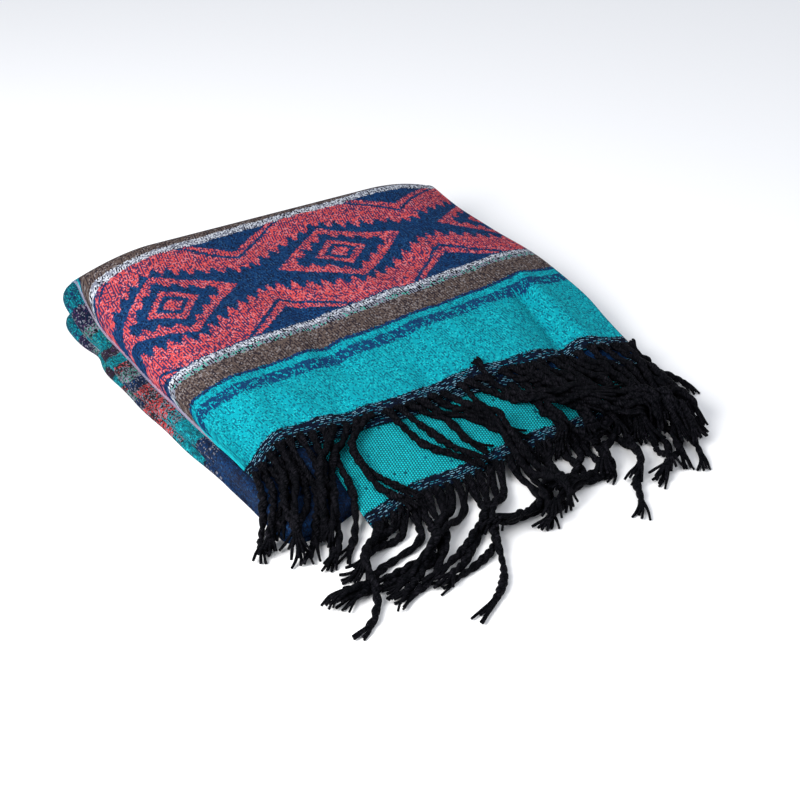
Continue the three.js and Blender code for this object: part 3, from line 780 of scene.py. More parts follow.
class Cloth(Graph):
    """A material of cloth, with the places that it reads from the piece's UV maps."""

    def __init__(self, name: str) -> None:
        """Starts the material: u and v lie along and across the stripes.

        Args:
            name: of the material.
        """
        super().__init__(name)
        self.u, self.v = self.place("cloth")
        self.inside, self.beside = self.place("edges")


@dataclass(frozen=True)
class Band:
    """A woven stripe: where it starts, its ground yarn and two yarns that fleck it."""

    start: float
    ground: Yarn
    fleck: Yarn
    fleck_share: float
    accent: Yarn
    accent_share: float


@dataclass(frozen=True)
class Stripes:
    """A table of woven stripes, and the places across them where it starts and ends."""

    low: float
    high: float
    bands: tuple[Band, ...]


@dataclass(frozen=True)
class Weave:
    """Size of the yarn steps, and how their relief feels."""

    pitch_u: float = 1.3
    pitch_v: float = 1.7
    feel: Feel = Feel()


class Loom:
    """Yarn cells of a woven face, shared by all the woven finishes.

    Each second column lies half a cell on and holds more flecks. A cell takes its colour
    from a place that strays a little from its own, which frays the borders of stripes.
    """

    fleck_swing = 2.2
    fleck_least = 0.45
    stray = 1.3
    roundness = 3.2
    least_height = 0.55
    patch_size = 38.0
    patch_share = 0.6
    gap_shade = 0.3

    def __init__(self, cloth: Cloth, weave: Weave, v: Wire, seed: float) -> None:
        """Cuts the cloth into yarn cells.

        Args:
            cloth: the material that is being made.
            weave: the size of the cells.
            v: place across the stripes.
            seed: which of many random weaves.
        """
        self.cloth = cloth
        column = (cloth.u / weave.pitch_u).floor()
        second = (column * 0.5).part()
        shifted = v / weave.pitch_v + second
        row = shifted.floor()
        across, along = cloth.u / weave.pitch_u - column - 0.5, shifted - row - 0.5
        draw = cloth.chance(column, row, seed)
        strays = cloth.chance(column, row, seed + 7.3)
        self.pick = draw[0] / (second * self.fleck_swing + self.fleck_least)
        self.pick_accent, self.tone = draw[1], draw[2]
        self.u = (column + 0.5) * weave.pitch_u + (strays[0] - 0.5) * (self.stray * weave.pitch_u)
        self.v = v + (strays[1] - 0.5) * (self.stray * weave.pitch_v)
        round_across = 1.0 - across * across * self.roundness
        self.dome = round_across * (1.0 - along * along * self.roundness)
        self.height = self.dome * (self.tone * (1.0 - self.least_height) + self.least_height)

    def striped(self, stripes: Stripes) -> Socket:
        """The colour of each cell from a table of stripes.

        Args:
            stripes: the table.

        Returns:
            The colour's socket.
        """
        run = stripes.high - stripes.low
        share = (self.v - stripes.low) / run

        def ramp(colour_of: Callable[[Band], tuple[float, ...]]) -> Socket:
            """A ramp with one constant stop a stripe."""
            stops = [((band.start - stripes.low) / run, colour_of(band)) for band in stripes.bands]
            return self.cloth.node("ShaderNodeValToRGB", {"stops": stops}, {0: share}).outputs[0]

        def level(share_of: Callable[[Band], float]) -> Wire:
            """A ramp of numbers."""
            return Wire(self.cloth, ramp(lambda b: (share_of(b),) * 3 + (1.0,)))

        fleck = self.pick < level(lambda b: b.fleck_share)
        accent = self.pick_accent < level(lambda b: b.accent_share)
        ground, flecks = ramp(lambda b: b.ground.linear), ramp(lambda b: b.fleck.linear)
        colour = self.cloth.mix(fleck, ground, flecks)
        return self.cloth.mix(accent, colour, ramp(lambda b: b.accent.linear))

    def toned(self, colour: Socket, depth: float) -> Socket:
        """Darkens a colour in soft patches and from cell to cell, and paints shade into the gaps
        between cells.

        Args:
            colour: the colour's socket.
            depth: the largest share that is taken off.

        Returns:
            The new colour's socket.
        """
        cloth = self.cloth
        patches = cloth.cloud(cloth.u, cloth.v, self.patch_size, 3.0, 3.0) * self.patch_share
        shade = (patches + self.tone * (1.0 - self.patch_share)) * depth
        # Painted shade in the gaps between the yarn cells, where the dome is low.
        return cloth.mix(shade + (1.0 - self.dome) * self.gap_shade, colour, Yarn.BLACK)


@dataclass(frozen=True)
class StitchedEdge:
    """The dark band along a cut edge, with broken rows of light stitches."""

    width: float = 9.0
    row_pitch: float = 2.2
    row_half: float = 0.17
    row_lag: float = 0.37
    stitch: float = 4.6
    stitch_share: float = 0.7
    left_out: float = 0.42
    sway: float = 7.0
    sway_length: float = 15.0
    sway_across: float = 0.3
    slip: float = 1.5
    row_step: float = 9.0
    slip_length: float = 14.0
    grain: float = 1.2
    grain_depth: float = 0.55
    fray: float = 2.4

    def stitches(self, cloth: Cloth) -> tuple[Wire, Wire]:
        """Where light stitches lie.

        Args:
            cloth: the material that is being made.

        Returns:
            1 on a stitch and 0 beside it, and a random number for each stitch.
        """
        sway = cloth.cloud(cloth.u, cloth.inside * self.sway_across, self.sway_length, 11.0) * self.sway
        across = (cloth.inside + sway) / self.row_pitch
        row = across.floor()
        in_row = abs(across - row - 0.5) < self.row_half
        slip = cloth.cloud(cloth.u, row * self.row_step, self.slip_length, 5.0) * self.slip
        reach = cloth.u / self.stitch + row * self.row_lag + slip
        draw = cloth.chance(reach.floor(), row, 2.0)
        return in_row * (reach.part() < self.stitch_share) * (draw[2] > self.left_out), draw[0]

    def laid(self, cloth: Cloth, colour: Any) -> Socket:
        """Lays the band over a colour.

        Args:
            cloth: the material that is being made.
            colour: the cloth's own colour.

        Returns:
            The colour with the band on it.
        """
        stitch, draw = self.stitches(cloth)
        grain = ((place / self.grain).floor() for place in (cloth.u, cloth.inside))
        fine = cloth.chance(*grain, 3.0)
        dark = cloth.mix(fine[1] * self.grain_depth, Yarn.SOOT, Yarn.INK)
        band = cloth.mix(stitch, dark, cloth.mix(draw, Yarn.DEEP_TEAL, Yarn.MIST))
        frayed = cloth.inside + (fine[0] - 0.5) * self.fray
        return cloth.mix(frayed < self.width, colour, band)


@dataclass(frozen=True)
class Chart:
    """The pattern of the wide band: a row of diamonds between two saw-toothed zigzags.

    The distances from the nearest diamond's middle, along and across the band, are a and b,
    and away is how far a is from the middle of the gap between two diamonds. A diamond's
    outline, ring and heart are given by their half width and half height.
    """

    width: float = 152.0
    first_centre: float = 66.0
    repeat: float = 184.5
    tooth: float = 13.5
    tooth_depth: float = 13.0
    zigzag: Pair = (0.42, 22.0)
    thin_line: Pair = (0.72, 36.5)
    thin_half: float = 2.1
    triangle: Pair = (0.63, 48.0)
    outline: Pair = (69.0, 47.0)
    outline_inside: float = 0.85
    inner_depth: float = 0.2
    ring: Pair = (28.0, 24.0)
    ring_inside: float = 0.66
    heart: Pair = (11.0, 9.5)

    def teeth(self, along: Wire, lag: float) -> Wire:
        """A row of even teeth, from 1 to 0 and back."""
        return abs((along / self.tooth + lag).part() - 0.5) * 2.0

    def coral(self, loom: Loom) -> Wire:
        """Where coral yarn covers the navy of the wide band.

        A zigzag fills what lies past a sloping line less a row of teeth, except for a thin
        line in it and a triangle behind it. A line lies at its slope times away, plus its
        start. The shapes of a diamond are bands of a over a half width plus b over a half
        height.

        Args:
            loom: the yarn cells of the face.

        Returns:
            1 on coral, 0 elsewhere.
        """
        place = ((loom.u - self.first_centre) / self.repeat + 0.5).part()
        a = abs(place - 0.5) * self.repeat
        b = abs(loom.v - self.width / 2)
        away = self.repeat / 2 - a
        zigzag, thin, triangle = (
            away * slope + start for slope, start in (self.zigzag, self.thin_line, self.triangle)
        )
        past = b > zigzag - self.teeth(a, 0.0) * self.tooth_depth
        sides = past * (abs(b - thin) > self.thin_half) * (b < triangle)
        outline, ring, heart = (
            a / wide + b / high for wide, high in (self.outline, self.ring, self.heart)
        )
        inside = self.outline_inside - self.teeth(a, 0.25) * self.inner_depth
        large = (outline < 1.0) * (outline > inside)
        small = (ring < 1.0) * (ring > self.ring_inside)
        in_band = (loom.v > 0.0) * (loom.v < self.width)
        return sides.most(large).most(small).most(heart < 1.0) * in_band


@dataclass(frozen=True)
class StripedFinish:
    """The shawl's face: stripes, and the wide band with its pattern."""

    weave: Weave = Weave()
    chart: Chart = Chart()
    edge: StitchedEdge = StitchedEdge()
    stripes: Stripes = Stripes(
        -130.0,
        420.0,
        (
            Band(-130, Yarn.TEAL, Yarn.DEEP_TEAL, 0.3, Yarn.AQUA, 0.12),
            Band(-67, Yarn.TEAL, Yarn.NAVY, 0.4, Yarn.DEEP_TEAL, 0.2),
            Band(-53, Yarn.TEAL, Yarn.DEEP_TEAL, 0.35, Yarn.AQUA, 0.1),
            Band(-44, Yarn.NAVY, Yarn.INK, 0.3, Yarn.DEEP_TEAL, 0.1),
            Band(-39, Yarn.BROWN, Yarn.UMBER, 0.42, Yarn.STONE, 0.13),
            Band(-10, Yarn.WHITE, Yarn.BLACK, 0.3, Yarn.GREY, 0.45),
            Band(0, Yarn.NAVY, Yarn.INK, 0.3, Yarn.SLATE, 0.12),
            Band(152, Yarn.WHITE, Yarn.BLACK, 0.36, Yarn.GREY, 0.4),
            Band(158, Yarn.GREY, Yarn.BLACK, 0.42, Yarn.MINT, 0.16),
            Band(165.5, Yarn.BROWN, Yarn.UMBER, 0.42, Yarn.STONE, 0.13),
            Band(192, Yarn.NAVY, Yarn.INK, 0.3, Yarn.DEEP_TEAL, 0.12),
            Band(196, Yarn.TEAL, Yarn.DEEP_TEAL, 0.35, Yarn.AQUA, 0.08),
            Band(205, Yarn.TEAL, Yarn.NAVY, 0.4, Yarn.DEEP_TEAL, 0.2),
            Band(219.5, Yarn.TEAL, Yarn.DEEP_TEAL, 0.3, Yarn.AQUA, 0.12),
        ),
    )
    rose_share: float = 0.5
    salmon_share: float = 0.12
    skew: float = 9.0
    skew_bend: float = 0.00011
    turn_reach: float = 42.0
    turn_base: float = 0.8
    waver: float = 10.0
    waver_length: float = 50.0
    mottle_from_middle: float = 136.0
    mottle_half: float = 7.0
    blotch_size: float = 4.6
    blotch_grain: float = 0.16
    blotch_across: float = 0.8
    blotch_least: float = 0.47
    blotch_depth: float = 0.92
    tone: float = 0.3
    # Width, fray and share of the painted highlight along the left edge.
    highlight_width: float = 1.2
    highlight_fray: float = 0.8
    highlight_mix: float = 0.6
    teal_start: float = 198.0
    fuzz_size: float = 1.1
    fuzz_share: float = 0.3

    def across(self, cloth: Cloth) -> Wire:
        """Place across the stripes, which lie askew, waver and turn forward at the left edge.

        The skew grows from nothing at the first border of the wide band to a parabola of u
        at its last. The turn is a falling power of u.

        Args:
            cloth: the material that is being made.

        Returns:
            The place in the table of stripes.
        """
        u, v = cloth.u, cloth.v
        skew = (self.skew - u * u * self.skew_bend) * (v / self.chart.width).clipped()
        turn = self.turn_base**u * self.turn_reach
        waver = (cloth.cloud(u, v * 0.2, self.waver_length, 1.0) - 0.5) * self.waver
        return v - skew - turn + waver

    def coral(self, loom: Loom) -> Socket:
        """The colour of the pattern: coral yarn with darker and paler picks."""
        coral = loom.cloth.mix(loom.pick < self.rose_share, Yarn.CORAL, Yarn.ROSE)
        return loom.cloth.mix(loom.pick_accent < self.salmon_share, coral, Yarn.SALMON)

    def mottled(self, loom: Loom) -> Wire:
        """The share of navy in the broken rows that lie on both teal stripes.

        Args:
            loom: the yarn cells of the face.

        Returns:
            The share.
        """
        cloth = loom.cloth
        cloud = cloth.cloud(cloth.u, cloth.v * self.blotch_across, self.blotch_size, 14.0)
        blotch = cloud + (loom.tone - 0.5) * self.blotch_grain > self.blotch_least
        from_row = abs(loom.v - self.chart.width / 2) - self.mottle_from_middle
        return blotch * (abs(from_row) < self.mottle_half) * self.blotch_depth

    def highlighted_edge(self, loom: Loom, colour: Socket, wavy: Wire) -> Socket:
        """Lays a painted highlight over a colour: a pale line along the left edge.

        Args:
            loom: the yarn cells of the face.
            colour: the cloth's own colour.
            wavy: place across the stripes.

        Returns:
            The colour with the painted highlight on it.
        """
        # Painted highlight: lilac over the stripes, aqua on the teal stripe at the back.
        width = self.highlight_width + (loom.tone - 0.5) * self.highlight_fray
        pale = loom.cloth.mix(wavy > self.teal_start, Yarn.LILAC_HIGHLIGHT, Yarn.AQUA)
        return loom.cloth.mix((loom.cloth.beside < width) * self.highlight_mix, colour, pale)

    def material(self) -> Material:
        """Builds the material.

        Returns:
            The finished material.
        """
        cloth = Cloth("woven_face")
        wavy = self.across(cloth)
        loom = Loom(cloth, self.weave, wavy, 1.0)
        colour = cloth.mix(self.chart.coral(loom), loom.striped(self.stripes), self.coral(loom))
        colour = cloth.mix(self.mottled(loom), colour, Yarn.NAVY)
        colour = self.highlighted_edge(loom, loom.toned(colour, self.tone), wavy)
        fuzz = cloth.cloud(cloth.u, cloth.v, self.fuzz_size, 9.0) * self.fuzz_share
        height = loom.height * (1 - self.fuzz_share) + fuzz
        return cloth.finish(self.edge.laid(cloth, colour), height, self.weave.feel)


@dataclass(frozen=True)
class PlainFinish:
    """A plain woven stretch, dotted with a second yarn, and its stitched front edge."""

    name: str
    stripes: Stripes
    weave: Weave
    dots: Yarn
    dot_share: float
    dot_height: float = 0.5
    tone: float = 0.3
    edge: StitchedEdge = StitchedEdge()

    def material(self) -> Material:
        """Builds the material.

        Returns:
            The finished material.
        """
        cloth = Cloth(self.name)
        loom = Loom(cloth, self.weave, cloth.v, 4.0)
        dot = (loom.dome > self.dot_height) * (loom.pick_accent < self.dot_share)
        colour = cloth.mix(dot, loom.striped(self.stripes), self.dots)
        colour = self.edge.laid(cloth, loom.toned(colour, self.tone))
        return cloth.finish(colour, loom.height, self.weave.feel)


@dataclass(frozen=True)
class FoldedFinish:
    """The folded layers: the stripes of the cloth's back, in the order in which they show, toned much
    darker than the face with painted shade, and with a painted highlight along each crease.
    """

    name: str
    shift: float
    weave: Weave = Weave(1.1, 1.4, Feel(0.6))
    waver: float = 12.0
    waver_length: float = 30.0
    crease: float = 1.6
    crease_start: float = -70.0
    crease_highlight_mix: float = 0.7
    crease_length: float = 24.0
    crease_least: float = 0.42
    stripes: Stripes = Stripes(
        -320.0,
        240.0,
        (
            Band(-320, Yarn.NAVY, Yarn.INK, 0.25, Yarn.SLATE, 0.08),
            Band(-127, Yarn.NAVY, Yarn.GREY, 0.26, Yarn.INK, 0.3),
            Band(-98, Yarn.TEAL, Yarn.DEEP_TEAL, 0.3, Yarn.AQUA, 0.12),
            Band(-66, Yarn.GREY, Yarn.TEAL, 0.35, Yarn.UMBER, 0.3),
            Band(-46, Yarn.CORAL, Yarn.BLACK, 0.3, Yarn.GREY, 0.26),
            Band(-22, Yarn.UMBER, Yarn.CORAL, 0.3, Yarn.GREY, 0.3),
            Band(-4, Yarn.CORAL, Yarn.BLACK, 0.28, Yarn.GREY, 0.28),
            Band(8, Yarn.NAVY, Yarn.INK, 0.4, Yarn.GREY, 0.14),
            Band(22, Yarn.GREY, Yarn.BLACK, 0.34, Yarn.MINT, 0.24),
            Band(40, Yarn.UMBER, Yarn.CORAL, 0.25, Yarn.GREY, 0.2),
            Band(50, Yarn.TEAL, Yarn.DEEP_TEAL, 0.3, Yarn.AQUA, 0.12),
            Band(66, Yarn.UMBER, Yarn.ROSE, 0.34, Yarn.GREY, 0.16),
            Band(84, Yarn.TEAL, Yarn.DEEP_TEAL, 0.34, Yarn.MINT, 0.12),
            Band(112, Yarn.GREY, Yarn.BLACK, 0.3, Yarn.MINT, 0.22),
            Band(122, Yarn.INK, Yarn.ROSE, 0.26, Yarn.GREY, 0.2),
            Band(148, Yarn.DEEP_TEAL, Yarn.TEAL, 0.4, Yarn.NAVY, 0.2),
            Band(184, Yarn.NAVY, Yarn.INK, 0.3, Yarn.TEAL, 0.1),
        ),
    )

    def material(self) -> Material:
        """Builds the material.

        Returns:
            The finished material.
        """
        cloth = Cloth(self.name)
        waver = cloth.cloud(cloth.u, cloth.v, self.waver_length, 2.0) - 0.5
        wavy = cloth.v + self.shift + waver * self.waver
        loom = Loom(cloth, self.weave, wavy, 6.0)
        # Painted highlight: a broken pale lilac line along each fold's crease, where the turn catches
        # light.
        broken = cloth.cloud(cloth.u, cloth.beside, self.crease_length, 8.0) > self.crease_least
        pale = (cloth.inside < self.crease) * (wavy > self.crease_start) * broken
        # Toning at full depth, against 0.3 on the face: painted shade for the folded sides, which lie
        # turned under.
        colour = loom.toned(loom.striped(self.stripes), 1.0)
        colour = cloth.mix(pale * self.crease_highlight_mix, colour, Yarn.LILAC_HIGHLIGHT)
        return cloth.finish(colour, loom.height, self.weave.feel)


@dataclass(frozen=True)
class StripFinish:
    """The dark strip that a fringe hangs from, stitched all over."""

    weave: Weave = Weave(feel=Feel(0.6))
    edge: StitchedEdge = StitchedEdge(width=30.0)

    def material(self) -> Material:
        """Builds the material.

        Returns:
            The finished material.
        """
        cloth = Cloth("stitched_strip")
        loom = Loom(cloth, self.weave, cloth.v, 8.0)
        colour = self.edge.laid(cloth, Yarn.SOOT.linear)
        return cloth.finish(colour, loom.height, self.weave.feel)


@dataclass(frozen=True)
class YarnFinish:
    """Near-black twisted yarn, with fine fibres wound round it and painted glints along them."""

    feel: Feel = Feel(0.55, 0.6, 0.025)
    fibre_pitch: float = 5.0
    strands: float = 3.0
    strand_height: float = 0.3
    fibre_size: float = 0.8
    fibre_height: float = 0.5
    least_height: float = 0.35
    glint_threshold: float = 0.55
    glint_share: float = 0.9
    tone_length: float = 22.0
    looseness: float = 5.0
    loose_around: float = 9.0
    loose_length: float = 3.0
    fine_around: float = 1.6
    fine_along: float = 0.35
    rod_steps: Pair = (13.0, 3.7)

    def material(self) -> Material:
        """Builds the material.

        Returns:
            The finished material.
        """
        yarn = Cloth("fringe_yarn")
        around, along, rod = yarn.u, yarn.v, yarn.inside
        wound = (around + along / self.fibre_pitch) * TURN
        fine_step, tone_step = self.rod_steps
        loose = yarn.cloud(around * self.loose_around, along, self.loose_length, 1.0)
        strands = (wound * self.strands + loose * self.looseness).sine()
        beside = along * self.fine_along + rod * fine_step
        fine = yarn.cloud(wound * self.fine_around, beside, self.fibre_size, 4.0)
        height = strands * self.strand_height + fine * self.fibre_height + self.least_height
        tone = yarn.cloud(rod * tone_step, along, self.tone_length, 2.0)
        # Painted highlight: paler glints along the fibres, in soft patches.
        light = (fine > self.glint_threshold) * tone * self.glint_share
        return yarn.finish(yarn.mix(light, Yarn.SOOT, Yarn.FIBRE_GLINT), height, self.feel)


# ---------- woven pieces


@dataclass(frozen=True)
class Cut:
    """What a piece of cloth is called, stands for and was cut to."""

    name: str
    node: str
    slot: str
    flat: Pair
    rests_on: tuple[str, ...]
    held: str = "folded"

    def declare(self, piece: Piece, with_pieces: Iterable[Piece] = ()) -> None:
        """Attaches the piece to the root body, hides the imported part that it stands for and logs its
        faces.

        Args:
            piece: the finished object.
            with_pieces: the fringe that hangs from it; not used.
        """
        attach(piece, "root")
        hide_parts(self.node)
        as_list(self.rests_on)
        LOG.info("%s: %d faces", piece.name, len(piece.data.polygons))


@dataclass
class Panel:
    """A flat stretch of cloth at one depth in the packet, with its front edge."""

    cut: Cut
    stretch: Stretch
    columns: int
    rows: int
    wall: float = 2.5
    chart_back: float = 150.0

    def outer(self) -> Array:
        """Points of the upper face, columns by rows."""
        return self.stretch.net(self.columns, self.rows)

    def places(self, points: Array) -> Array:
        """Texture places: length from the left edge, depth from the back, and edge distances.

        Args:
            points: points of the upper face.

        Returns:
            Four numbers a point.
        """
        u, v = lengths(points), self.chart_back - points[..., 1]
        inside = points[..., 1] - self.stretch.front(points[..., 0])
        return np.stack([u, v, inside, u], -1)

    def build(self, material: Material) -> Piece:
        """Makes the piece.

        Args:
            material: its finish.

        Returns:
            The object.
        """
        surface = Surface()
        points = self.outer()
        surface.add_sheet(points, self.places(points), self.wall)
        return surface.build(self.cut.name, [material])


@dataclass
class TopPanel(Panel):
    """The top panel, with the back fold and its right edge rolled under."""

    foot_rows: int = 12
    fold_rows: int = 12
    roll_columns: int = 9
    roll_degrees: float = 178.0
    fold_belly: float = 1.5
    fold_lean: float = 2.0
    far: float = 300.0

    def back(self, crest: Array) -> tuple[Array, Array]:
        """The back fold: up its wall, then over a quarter round.

        Args:
            crest: points where the top face ends.

        Returns:
            Points, columns by rows, and the outward direction of each row.
        """
        radius, foot = PACKET.back_radius, PACKET.back_foot
        share = np.linspace(0, 1, self.foot_rows, endpoint=False)[None, :]
        wall = np.repeat(crest, self.foot_rows, 1)
        bend = self.fold_belly * np.sin(math.pi * share) - self.fold_lean * (1 - share)
        wall[..., 1] += radius + bend
        wall[..., 2] = foot * (1 - share) + (crest[..., 2] - radius) * share
        turn = np.radians(np.linspace(90, 0, self.fold_rows, endpoint=False))[None, :]
        fold = np.repeat(crest, self.fold_rows, 1)
        fold[..., 1] += radius * np.sin(turn)
        fold[..., 2] += radius * (np.cos(turn) - 1)
        level = np.array([0.0, 1.0, 0.0]) * np.ones((self.foot_rows, 1))
        round_it = np.stack([0 * turn[0], np.sin(turn[0]), np.cos(turn[0])], -1)
        return np.concatenate([wall, fold], 1), np.concatenate([level, round_it])

    def outer(self) -> Array:
        """Points of the outer face.

        Each column runs up the back fold and along the top face. The last ones swing round
        an axis a roll radius under the right edge.

        Returns:
            Points, columns by rows.
        """
        face = super().outer()
        back, out = self.back(face[:, :1])
        out = np.concatenate([out, np.tile(UP, (face.shape[1], 1))])
        line = np.concatenate([back, face], 1)
        swing = np.linspace(0, self.roll_degrees, self.roll_columns + 1)[1:]
        swing = np.radians(swing)[:, None, None]
        roll = PACKET.roll_radius
        rolled = line[-1:] - out * (roll - roll * np.cos(swing))
        rolled[..., 0] += roll * np.sin(swing[..., 0])
        return np.concatenate([line, rolled], 0)

    def places(self, points: Array) -> Array:
        """Texture places, carried on round the back fold and the rolled edge.

        Args:
            points: points of the outer face.

        Returns:
            Four numbers a point.
        """
        places = super().places(points)
        start = self.foot_rows + self.fold_rows
        step = np.linalg.norm(np.diff(points[:, : start + 1], axis=1), axis=-1)
        past = np.cumsum(step[:, ::-1], 1)[:, ::-1]
        places[:, :start, 1] = places[:, start : start + 1, 1] - past
        places[:, :start, 2] = self.far
        rolled = slice(-self.roll_columns, None)
        places[rolled, :, 1:3] = places[-self.roll_columns - 1, :, 1:3]
        return places


# ---------- folded layers


@dataclass(frozen=True)
class Fold:
    """How one folded sheet lies at the packet's sides, point by point round its outline.

    High and low are shares of the edge's height, where the sheet lies on its upper and its
    lower side. Swell is the share of the bulge that it reaches, and shift is how far its
    stripes lie from those of the others.
    """

    name: str
    high: Array
    low: Array
    swell: Array
    shift: float
    flat: Pair
    over_top: bool = False
    over_floor: bool = False


@dataclass
class FoldedLayers:
    """The folded cloth under the panels: thin sheets that turn round at the packet's sides."""

    node: str = "packed_layers"
    slot: str = "woven_navy"
    wall: float = 1.5
    spacing: float = 2.6
    soften: float = 7.0
    side_steps: int = 420
    loop_steps: int = 1800
    west_run: Pair = (169.5, -238.0)
    front_run: Pair = (-201.0, 194.0)
    east_run: Pair = (-203.5, 155.0)
    back_run: Pair = (198.0, -208.0)
    front_bulge: float = 4.0
    east_bulge: float = 5.0
    back_bulge: float = 13.0
    west_sink: float = 2.0
    east_sink: float = 2.3
    east_out: float = 4.0
    middle: Pair = (0.0, -30.0)
    inmost: float = 0.02
    tuck: float = 26.0
    tuck_rows: int = 6
    cover_rows: int = 29
    turn_rows: int = 14
    rows_past_crease: int = 3
    merge: float = 12.0
    corner_power: float = 0.6
    cover_layers: float = 1.03
    panel_start: float = -26.0
    second_start: float = -196.0
    flap_start: float = -10.0
    panel_run: float = 10.0
    second_run: float = 8.0
    flap_run: float = 9.0
    front_steps: tuple[Pair, ...] = ((-190.0, 12.0), (-140.0, 14.0))
    waves: tuple[Triple, ...] = ((0.13, 31.0, 0.0), (0.1, 13.0, 1.0))
    thirds: Pair = (0.66, 0.34)
    fore_drop: float = 0.2
    fore: Pair = (-60.0, 120.0)
    gap: float = 0.02

    def __post_init__(self) -> None:
        """Works out the outline that all the sheets share, and its outward directions."""
        loop = self.outline()
        self.plan, self.height, self.bulge = loop[:, :2], loop[:, 2], loop[:, 3]
        way = unit(np.roll(self.plan, -2, 0) - np.roll(self.plan, 2, 0))
        self.out = np.stack([way[:, 1], -way[:, 0]], -1)

    def sides(self) -> list[Array]:
        """The packet's four sides under the top panel, one after another.

        Returns:
            Points of each side: place in plan, height and bulge.
        """
        p = PACKET
        down, east, up, west = (
            np.linspace(*run, self.side_steps)
            for run in (self.west_run, self.front_run, self.east_run, self.back_run)
        )
        left_z = p.layer_top(p.left(down), down, 1.0) - self.west_sink + p.lobe_lift(down)
        layers = 1 + sum(smoothstep((east - start) / run) for start, run in self.front_steps)
        front_z = p.layer_top(east, p.core_front(east), layers)
        right_z = p.face(p.right(up), up) - 2 * p.roll_radius - self.east_sink
        back_z = p.layer_top(west, p.crest(west), 1.0)
        return [
            np.stack([p.shoulder(down), down, left_z, p.left_bulge(down)], -1),
            np.stack([east, p.core_front(east), front_z, east * 0 + self.front_bulge], -1),
            np.stack([p.right(up) + self.east_out, up, right_z, up * 0 + self.east_bulge], -1),
            np.stack([west, p.crest(west), back_z, west * 0 + self.back_bulge], -1),
        ]

    def outline(self) -> Array:
        """The packet's edge, softened by a bell along the loop, which rounds its corners.

        Returns:
            Points in even steps: place in plan, height and bulge.
        """
        loop = self.even(np.concatenate(self.sides()), self.loop_steps)
        length = np.linalg.norm(loop[:, :2] - np.roll(loop[:, :2], 1, 0), axis=-1).sum()
        wave = np.fft.rfftfreq(len(loop), length / len(loop))
        bell = np.exp(-2 * (math.pi * wave * self.soften) ** 2)[:, None]
        soft = np.fft.irfft(np.fft.rfft(loop, axis=0) * bell, len(loop), axis=0)
        return self.even(soft, int(length / self.spacing))

    @staticmethod
    def even(loop: Array, count: int) -> Array:
        """The closed loop cut into a number of even steps, by its length in plan.

        Args:
            loop: points whose first two numbers are their place in plan.
            count: how many steps.

        Returns:
            The new points.
        """
        closed = np.concatenate([loop, loop[:1]])
        length = lengths(closed[:, :2])
        at = np.linspace(0, length[-1], count, endpoint=False)
        return np.stack([np.interp(at, length, column) for column in closed.T], -1)

    def face_height(self, x: Array, y: Array) -> Array:
        """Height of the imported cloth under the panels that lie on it.

        Args:
            x: places along X.
            y: places along Y.

        Returns:
            Heights over the floor.
        """
        ahead = smoothstep((self.panel_start - y) / self.panel_run)
        second = ahead * smoothstep((x - self.second_start) / self.second_run)
        from_flap = x - PACKET.flap_left(y) - self.flap_start
        flap = ahead * smoothstep(from_flap / self.flap_run)
        return PACKET.layer_top(x, y, self.cover_layers + second + flap)

    def tucked(self, share: Array) -> Array:
        """Rows that run straight in from the edge, from the innermost one out.

        Args:
            share: share of the edge's height at which they lie.

        Returns:
            Points, loop by rows.
        """
        inward = np.linspace(-self.tuck, 0, self.tuck_rows, endpoint=False)[None, :, None]
        plan = self.plan[:, None] + self.out[:, None] * inward
        height = np.repeat((share * self.height)[:, None, None], self.tuck_rows, 1)
        return np.concatenate([plan, height], -1)

    def covering(self, share: Array) -> Array:
        """Rows from the middle of the upper face out to the edge, which they join softly.

        Args:
            share: share of the edge's height at which they arrive.

        Returns:
            Points, loop by rows.
        """
        rings = np.linspace(self.inmost, 1, self.cover_rows, endpoint=False)[None, :, None]
        spoke = (self.plan - self.middle)[:, None]
        plan = self.middle + spoke * rings
        gap = np.linalg.norm(spoke, axis=-1) * (1 - rings[..., 0])
        close = smoothstep(1 - gap / self.merge)
        face = self.face_height(plan[..., 0], plan[..., 1])
        height = face * (1 - close) + (share * self.height)[:, None] * close
        return np.concatenate([plan, height[..., None]], -1)

    def turned(self, fold: Fold) -> Array:
        """Rows of the half oval by which a sheet turns round at the side.

        Args:
            fold: the sheet.

        Returns:
            Points, loop by rows, from the upper one down.
        """
        theta = np.radians(np.linspace(90, -90, self.turn_rows))[None, :]
        middle, half = (fold.high + fold.low) / 2, (fold.high - fold.low) / 2
        reach = (self.bulge * fold.swell)[:, None] * np.abs(np.cos(theta)) ** self.corner_power
        rise = (middle[:, None] + half[:, None] * np.sin(theta)) * self.height[:, None]
        plan = self.plan[:, None] + self.out[:, None] * reach[..., None]
        return np.concatenate([plan, np.maximum(rise, self.wall)[..., None]], -1)

    def points(self, fold: Fold) -> tuple[Array, int]:
        """A whole sheet: in from the side, round the half oval, and back in.

        Args:
            fold: the sheet.

        Returns:
            Points, loop by rows, and the number of the row where the turn starts.
        """
        over = self.covering(fold.high) if fold.over_top else self.tucked(fold.high)
        under = self.covering(fold.low) if fold.over_floor else self.tucked(fold.low)
        if fold.over_floor:
            under[..., 2] = self.wall
        return np.concatenate([over, self.turned(fold), under[:, ::-1]], 1), over.shape[1]

    def places(self, fold: Fold, points: Array, start: int) -> Array:
        """Texture places: the cloth laid flat, and the distances from its crease and round it.

        Args:
            fold: the sheet.
            points: its points.
            start: number of the row where its turn starts.

        Returns:
            Four numbers a point.
        """
        along = lengths(points, 1)
        crease_row = start + self.turn_rows - self.rows_past_crease
        crease = np.abs(along - along[:, crease_row, None])
        out = (along - along[:, start, None])[..., None]
        unfolded = self.plan[:, None] + self.out[:, None] * out
        if fold.over_top:
            unfolded[:, :start] = points[:, :start, :2]
        ring = np.arange(len(points))[:, None] * self.spacing + 0 * along
        return np.concatenate([unfolded, crease[..., None], ring[..., None]], -1)

